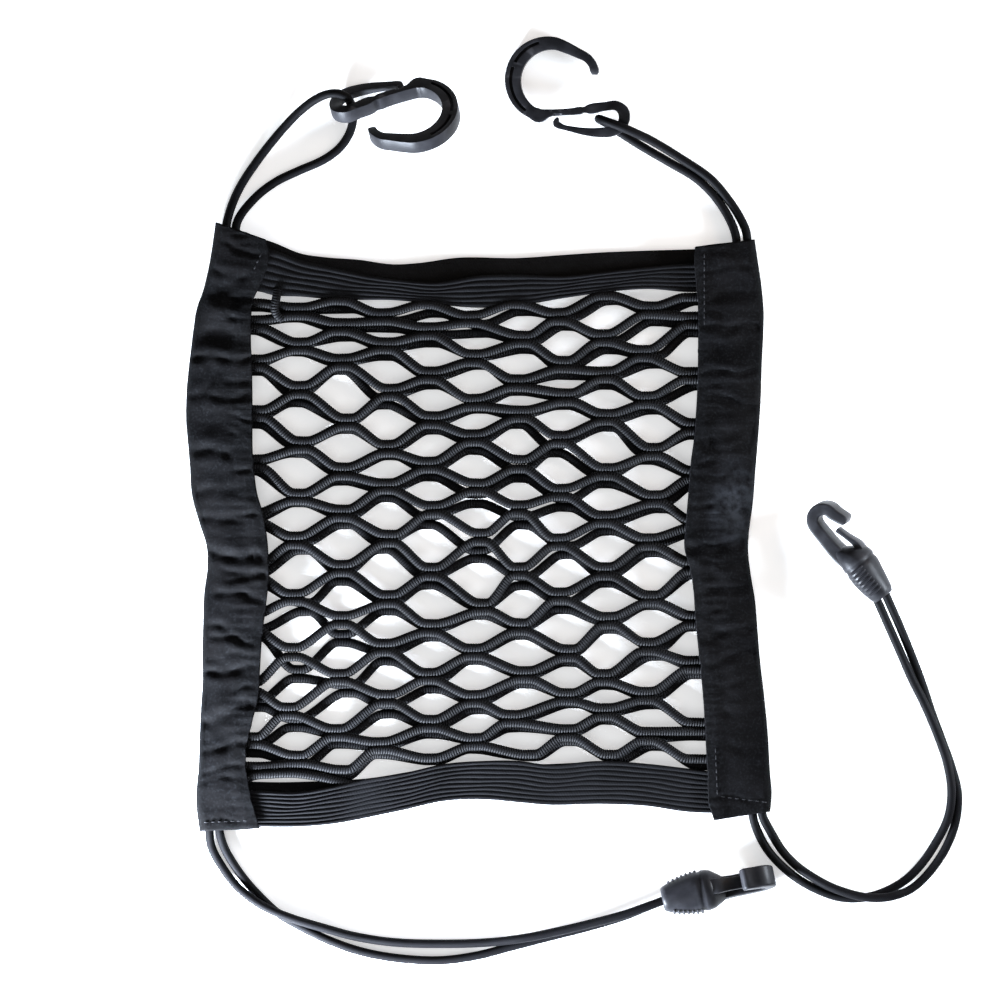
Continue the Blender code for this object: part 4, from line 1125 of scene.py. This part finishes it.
def extrude(offset):
    bpy.ops.mesh.extrude_region_move(
        TRANSFORM_OT_translate={"value": tuple(v * MM for v in offset), "orient_type": "GLOBAL"}
    )


def turn_flat(angle, centre):
    """Turns what is selected round Z, anticlockwise seen from above."""
    bpy.ops.transform.rotate(
        value=-angle, orient_axis="Z", orient_type="GLOBAL",
        center_override=tuple(v * MM for v in centre),
    )


def scale_about(factors, centre):
    bpy.ops.transform.resize(
        value=factors, orient_type="GLOBAL", center_override=tuple(v * MM for v in centre)
    )


def smooth_stations(rows, step):
    """A bar's table read smoothly, `step` mm apart."""
    rows = np.array(rows, float)
    run = np.concatenate(([0.0], np.cumsum(np.hypot(np.diff(rows[:, 0]), np.diff(rows[:, 1])))))
    at = np.linspace(0.0, run[-1], int(run[-1] / step) + 1)
    return np.stack([read_smooth(run, rows[:, k], at) for k in range(4)], axis=1)


def heading_of(start, end):
    return math.atan2(end[1] - start[1], end[0] - start[0])


def strip_along(name, stations, strips):
    """A flat strip extruded along a bar's stations; `strips` are shares of its width."""
    deselect_all()
    bpy.ops.mesh.primitive_grid_add(
        x_subdivisions=1, y_subdivisions=len(strips) - 1, size=2 * MM, location=(0.0, 0.0, 0.0)
    )
    strip = bpy.context.object
    strip.name = name
    apply_place(strip)
    even = np.linspace(-1.0, 1.0, len(strips))
    for place, share in zip(even[1:-1], strips[1:-1]):
        pick_points(strip, lambda p, place=place: abs(p.y - place) < 0.02)
        move((0.0, (2 * share - 1) - place, 0.0))
    first, second = stations[0], stations[1]
    facing, width = heading_of(first, second), first[2]
    length = math.hypot(second[1] - first[1], second[0] - first[0])
    middle = ((first[0] + second[0]) / 2, (first[1] + second[1]) / 2, 0.0)
    pick_points(strip, lambda p: True)
    scale_about((length / 2, width / 2, 1.0), (0.0, 0.0, 0.0))
    turn_flat(facing, (0.0, 0.0, 0.0))
    move(middle)
    ahead = Vector((math.cos(facing), math.sin(facing), 0.0))
    pick_points(strip, lambda p: (p - Vector(middle)).dot(ahead) > 0.1 * length)
    for i in range(1, len(stations)):
        before, here = stations[i - 1], stations[i]
        after = stations[min(i + 1, len(stations) - 1)]
        if i > 1:
            extrude((here[0] - before[0], here[1] - before[1], 0.0))
        wanted = heading_of(before, after)
        turn = (wanted - facing + math.pi) % (2 * math.pi) - math.pi
        if abs(turn) > 1e-5:
            turn_flat(turn, (here[0], here[1], 0.0))
        factor = here[2] / width
        scale_about((factor, factor, 1.0), (here[0], here[1], 0.0))
        facing, width = wanted, here[2]
    bpy.ops.object.mode_set(mode="OBJECT")
    return strip


def nearest_station(stations, point):
    gaps = (stations[:, 0] - point[0]) ** 2 + (stations[:, 1] - point[1]) ** 2
    return int(np.argmin(gaps))


def raise_bar(bar, stations):
    """Gives a flat strip its thickness, station by station, with the strip in the middle."""
    pick_points(bar, lambda p: True)
    extrude((0.0, 0.0, 1.0))
    bpy.ops.mesh.select_all(action="SELECT")
    move((0.0, 0.0, -0.5))
    bpy.ops.mesh.normals_make_consistent(inside=False)
    bpy.ops.object.mode_set(mode="OBJECT")
    nearest = [nearest_station(stations, v.co / MM) for v in bar.data.vertices]
    for level in sorted(set(np.round(stations[:, 3], 1))):
        pick_none("VERT")
        for point, station in zip(bar.data.vertices, nearest):
            point.select = abs(round(stations[station][3], 1) - level) < 0.01
        bpy.ops.object.mode_set(mode="EDIT")
        scale_about((1.0, 1.0, float(level)), (0.0, 0.0, 0.0))
    bpy.ops.object.mode_set(mode="OBJECT")


def round_edges(made, width, segments):
    soft = made.modifiers.new("rounded_edges", "BEVEL")
    soft.width = width * MM
    soft.segments = segments
    soft.limit_method = "ANGLE"
    soft.angle_limit = math.radians(30.0)
    soft.use_clamp_overlap = True
    choose(made)
    bpy.ops.object.modifier_apply(modifier=soft.name)
    bpy.ops.object.shade_smooth_by_angle(angle=math.radians(40.0))


def join_all(name, pieces):
    deselect_all()
    for piece in pieces:
        piece.select_set(True)
    bpy.context.view_layer.objects.active = pieces[0]
    bpy.ops.object.join()
    made = bpy.context.object
    made.name = name
    return made


def lay_hook(hook, node):
    """Puts a finished hook where it lies and makes it a piece of the object."""
    x, y, z, roll, pitch, heading = HOOK_PLACES[node]
    hook.location = (x * MM, y * MM, z * MM)
    hook.rotation_euler = tuple(math.radians(a) for a in (roll, pitch, heading))
    apply_place(hook)
    hook.data.materials.clear()
    hook.data.materials.append(FINISH["plastic"])
    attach(hook, "root")
    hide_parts(node)
    return hook


def c_bar_at(degrees):
    """The radius of the bar's middle and its width; the bar is widest halfway round."""
    share = np.clip((degrees - C_FROM_DEG) / (C_TO_DEG - C_FROM_DEG), 0.0, 1.0)
    extra = C_EXTRA_WIDE * math.sin(math.pi * share)
    return C_RADIUS - extra / 2, C_WIDTH + extra


def c_hook_rows():
    rows = list(C_TIP)
    for degrees in np.linspace(C_FROM_DEG, C_TO_DEG, C_STEPS):
        turn = math.radians(degrees)
        radius, width = c_bar_at(degrees)
        rows.append((radius * math.cos(turn), radius * math.sin(turn), width, C_THICK))
    return rows + list(C_SHANK)


def in_groove(centre):
    """Whether a face of the C lies in one of the grooves."""
    turn = math.degrees(math.atan2(centre.y, centre.x)) % 360.0
    radius, width = c_bar_at(turn)
    off = math.hypot(centre.x, centre.y) - radius
    on_bar = GROOVE_SPAN[0] * width < off < GROOVE_SPAN[1] * width
    return on_bar and any(low < turn < high for low, high in GROOVES)


def make_c_hook(node):
    stations = smooth_stations(c_hook_rows(), C_STATION)
    stations[:, 3] *= C_FULLER
    bar = strip_along(node + "_moulded", stations, C_STRIPS)
    raise_bar(bar, stations)
    for facing in (1.0, -1.0):
        pick_faces(bar, lambda c, n, facing=facing: n.z * facing > 0.9 and in_groove(c))
        extrude((0.0, 0.0, -facing * GROOVE_DEEP))
        bpy.ops.object.mode_set(mode="OBJECT")
    round_edges(bar, width=0.40, segments=3)
    return lay_hook(bar, node)


def make_rib(along, deep):
    """One grip rib across the sleeve."""
    deselect_all()
    bpy.ops.mesh.primitive_uv_sphere_add(segments=16, ring_count=10, radius=1.0 * MM)
    rib = bpy.context.object
    rib.scale = (RIB["along"], RIB["across"] / 2, RIB["deep"])
    rib.location = (along * MM, 0.0, deep * MM)
    apply_place(rib)
    bpy.ops.object.shade_smooth()
    return rib


def snap_curl_rows():
    """The bar from the arm round the curl and out to the lip's end."""
    along, across, reach = SNAP_CURL["along"], SNAP_CURL["across"], SNAP_CURL["radius"]
    rows = list(SNAP_ARM)
    for degrees in range(90, -91, -20):
        turn = math.radians(degrees)
        rows.append((along + reach * math.cos(turn), across + reach * math.sin(turn),
                     SNAP_CURL["width"], SNAP_CURL["thick"]))
    return rows + list(SNAP_LIP)


def make_sleeve(node):
    """The sleeve that holds the cord's legs, extruded row by row into the hook's neck."""
    deselect_all()
    bpy.ops.mesh.primitive_circle_add(
        vertices=36, radius=1.0 * MM, fill_type="NGON", rotation=(0.0, math.pi / 2, 0.0)
    )
    body = bpy.context.object
    body.name = node
    apply_place(body)
    body_rows = smooth_stations(SNAP_BODY, SNAP_STATION)
    rows = list(SNAP_START) + [tuple(row) for row in body_rows]
    first = rows[0]
    pick_points(body, lambda p: True)
    scale_about((1.0, first[2] / 2, first[3] / 2), (0.0, 0.0, 0.0))
    move((first[0], first[1], 0.0))
    before = first
    for row in rows[1:]:
        if row[0] - before[0] < 0.05:
            continue
        waist = SEAM_WAIST if abs(row[0] - SNAP_SEAM) < SEAM_HALF else 1.0
        row = (row[0], row[1], row[2] * waist, row[3] * waist)
        extrude((row[0] - before[0], row[1] - before[1], 0.0))
        scale_about((1.0, row[2] / before[2], row[3] / before[3]), (row[0], row[1], 0.0))
        before = row
    bpy.ops.mesh.select_all(action="SELECT")
    bpy.ops.mesh.normals_make_consistent(inside=False)
    bpy.ops.object.mode_set(mode="OBJECT")
    bpy.ops.object.shade_smooth_by_angle(angle=math.radians(50.0))
    return body


def make_bar(name, rows, step, edge, segments):
    """A moulded bar with rounded edges, from its rows."""
    stations = smooth_stations(rows, step)
    bar = strip_along(name, stations, (0.0, 0.5, 1.0))
    raise_bar(bar, stations)
    round_edges(bar, edge, segments)
    return bar


def make_snap_hook(node):
    body = make_sleeve(node)
    curl = make_bar(node + "_curl", snap_curl_rows(), step=1.2, edge=1.1, segments=4)
    gate = make_bar(node + "_gate", SNAP_GATE, step=1.6, edge=0.4, segments=2)
    ribs = []
    places, thicknesses = [row[0] for row in SNAP_BODY], [row[3] for row in SNAP_BODY]
    for along in SLEEVE_RIBS:
        thick = float(read_smooth(places, thicknesses, np.array([along]))[0])
        for facing in (1.0, -1.0):
            ribs.append(make_rib(along, facing * (thick / 2 - RIB["sunk"])))
    hook = join_all(node + "_moulded", [body, curl, gate] + ribs)
    return lay_hook(hook, node)


# ---- stitching
def add_stitch(shape, start, end, thick):
    """One short stitch: a flat-ended thread that dips into the cloth at both ends."""
    start, end = np.array(start), np.array(end)
    path = np.stack([start + (end - start) * t for t in (0.0, 0.25, 0.5, 0.75, 1.0)])
    path[:, 2] += np.array([-0.35, 0.1, 0.2, 0.1, -0.35])
    add_tube(shape, path, thick, thick * 0.8, 6)


def height_at(grid, x, y):
    """How high a band's upper ply lies at a place."""
    part = grid[:, FIRST_UPPER:]
    gaps = (part[..., 0] - x) ** 2 + (part[..., 1] - y) ** 2
    r, c = np.unravel_index(np.argmin(gaps), gaps.shape)
    return part[r, c, 2]


def stitch_band(node, grid, seams):
    """Rows of stitches on a band, each from one (x, y) to another."""
    shape = Shape()
    for x0, y0, x1, y1 in seams:
        length = math.hypot(x1 - x0, y1 - y0)
        count = int(length / STITCH["pitch"])
        for i in range(count):
            ends = []
            for t in ((i + STITCH["start"]) / count, (i + STITCH["end"]) / count):
                x, y = x0 + (x1 - x0) * t, y0 + (y1 - y0) * t
                ends.append((x, y, height_at(grid, x, y) + STITCH["rise"]))
            add_stitch(shape, *ends, STITCH["thick"])
    made = shape.make(node + "_stitches", FINISH["seam_thread"])
    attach(made, "root")


# ---- assembly
GROUPS = {
    "weave": make_weave_group(),
    "ribs": make_ribs_group(),
    "patches": make_patch_group(),
    "painted_sheen": make_painted_sheen_group(),
}
FINISH = {
    "net_cord": net_cord_finish(),
    "band": band_finish(),
    "elastic": elastic_finish(
        "elastic_black", (0.0005, 0.0005, 0.0006, 1), (0.006, 0.006, 0.0072, 1), 0.055, 0.01
    ),
    "elastic_back": elastic_finish(
        "elastic_back_black", (0.002, 0.0018, 0.0018, 1), (0.005, 0.0045, 0.0045, 1), 0.05, 0.005
    ),
    "bungee": bungee_finish(),
    "plastic": plastic_finish(),
    "seam_thread": seam_thread_finish(),
}


def main():
    set_camera()
    set_stage()
    hooks = {
        "hook_upper_left": make_c_hook("hook_upper_left"),
        "hook_upper_right": make_c_hook("hook_upper_right"),
        "hook_lower_left": make_snap_hook("hook_lower_left"),
        "hook_lower_right": make_snap_hook("hook_lower_right"),
    }
    make_cords()
    make_net("net_back")
    make_net("net_front")
    left = make_band("side_band_left", LEFT_BAND, LEFT_CREASES, seed=2.0, gather_at=-118.0)
    right = make_band("side_band_right", RIGHT_BAND, RIGHT_CREASES, seed=7.0, gather_at=116.0)
    for elastic in ELASTICS:
        make_elastic(*elastic)
    stitch_band("side_band_left", left, LEFT_SEAMS)
    stitch_band("side_band_right", right, RIGHT_SEAMS)


main()
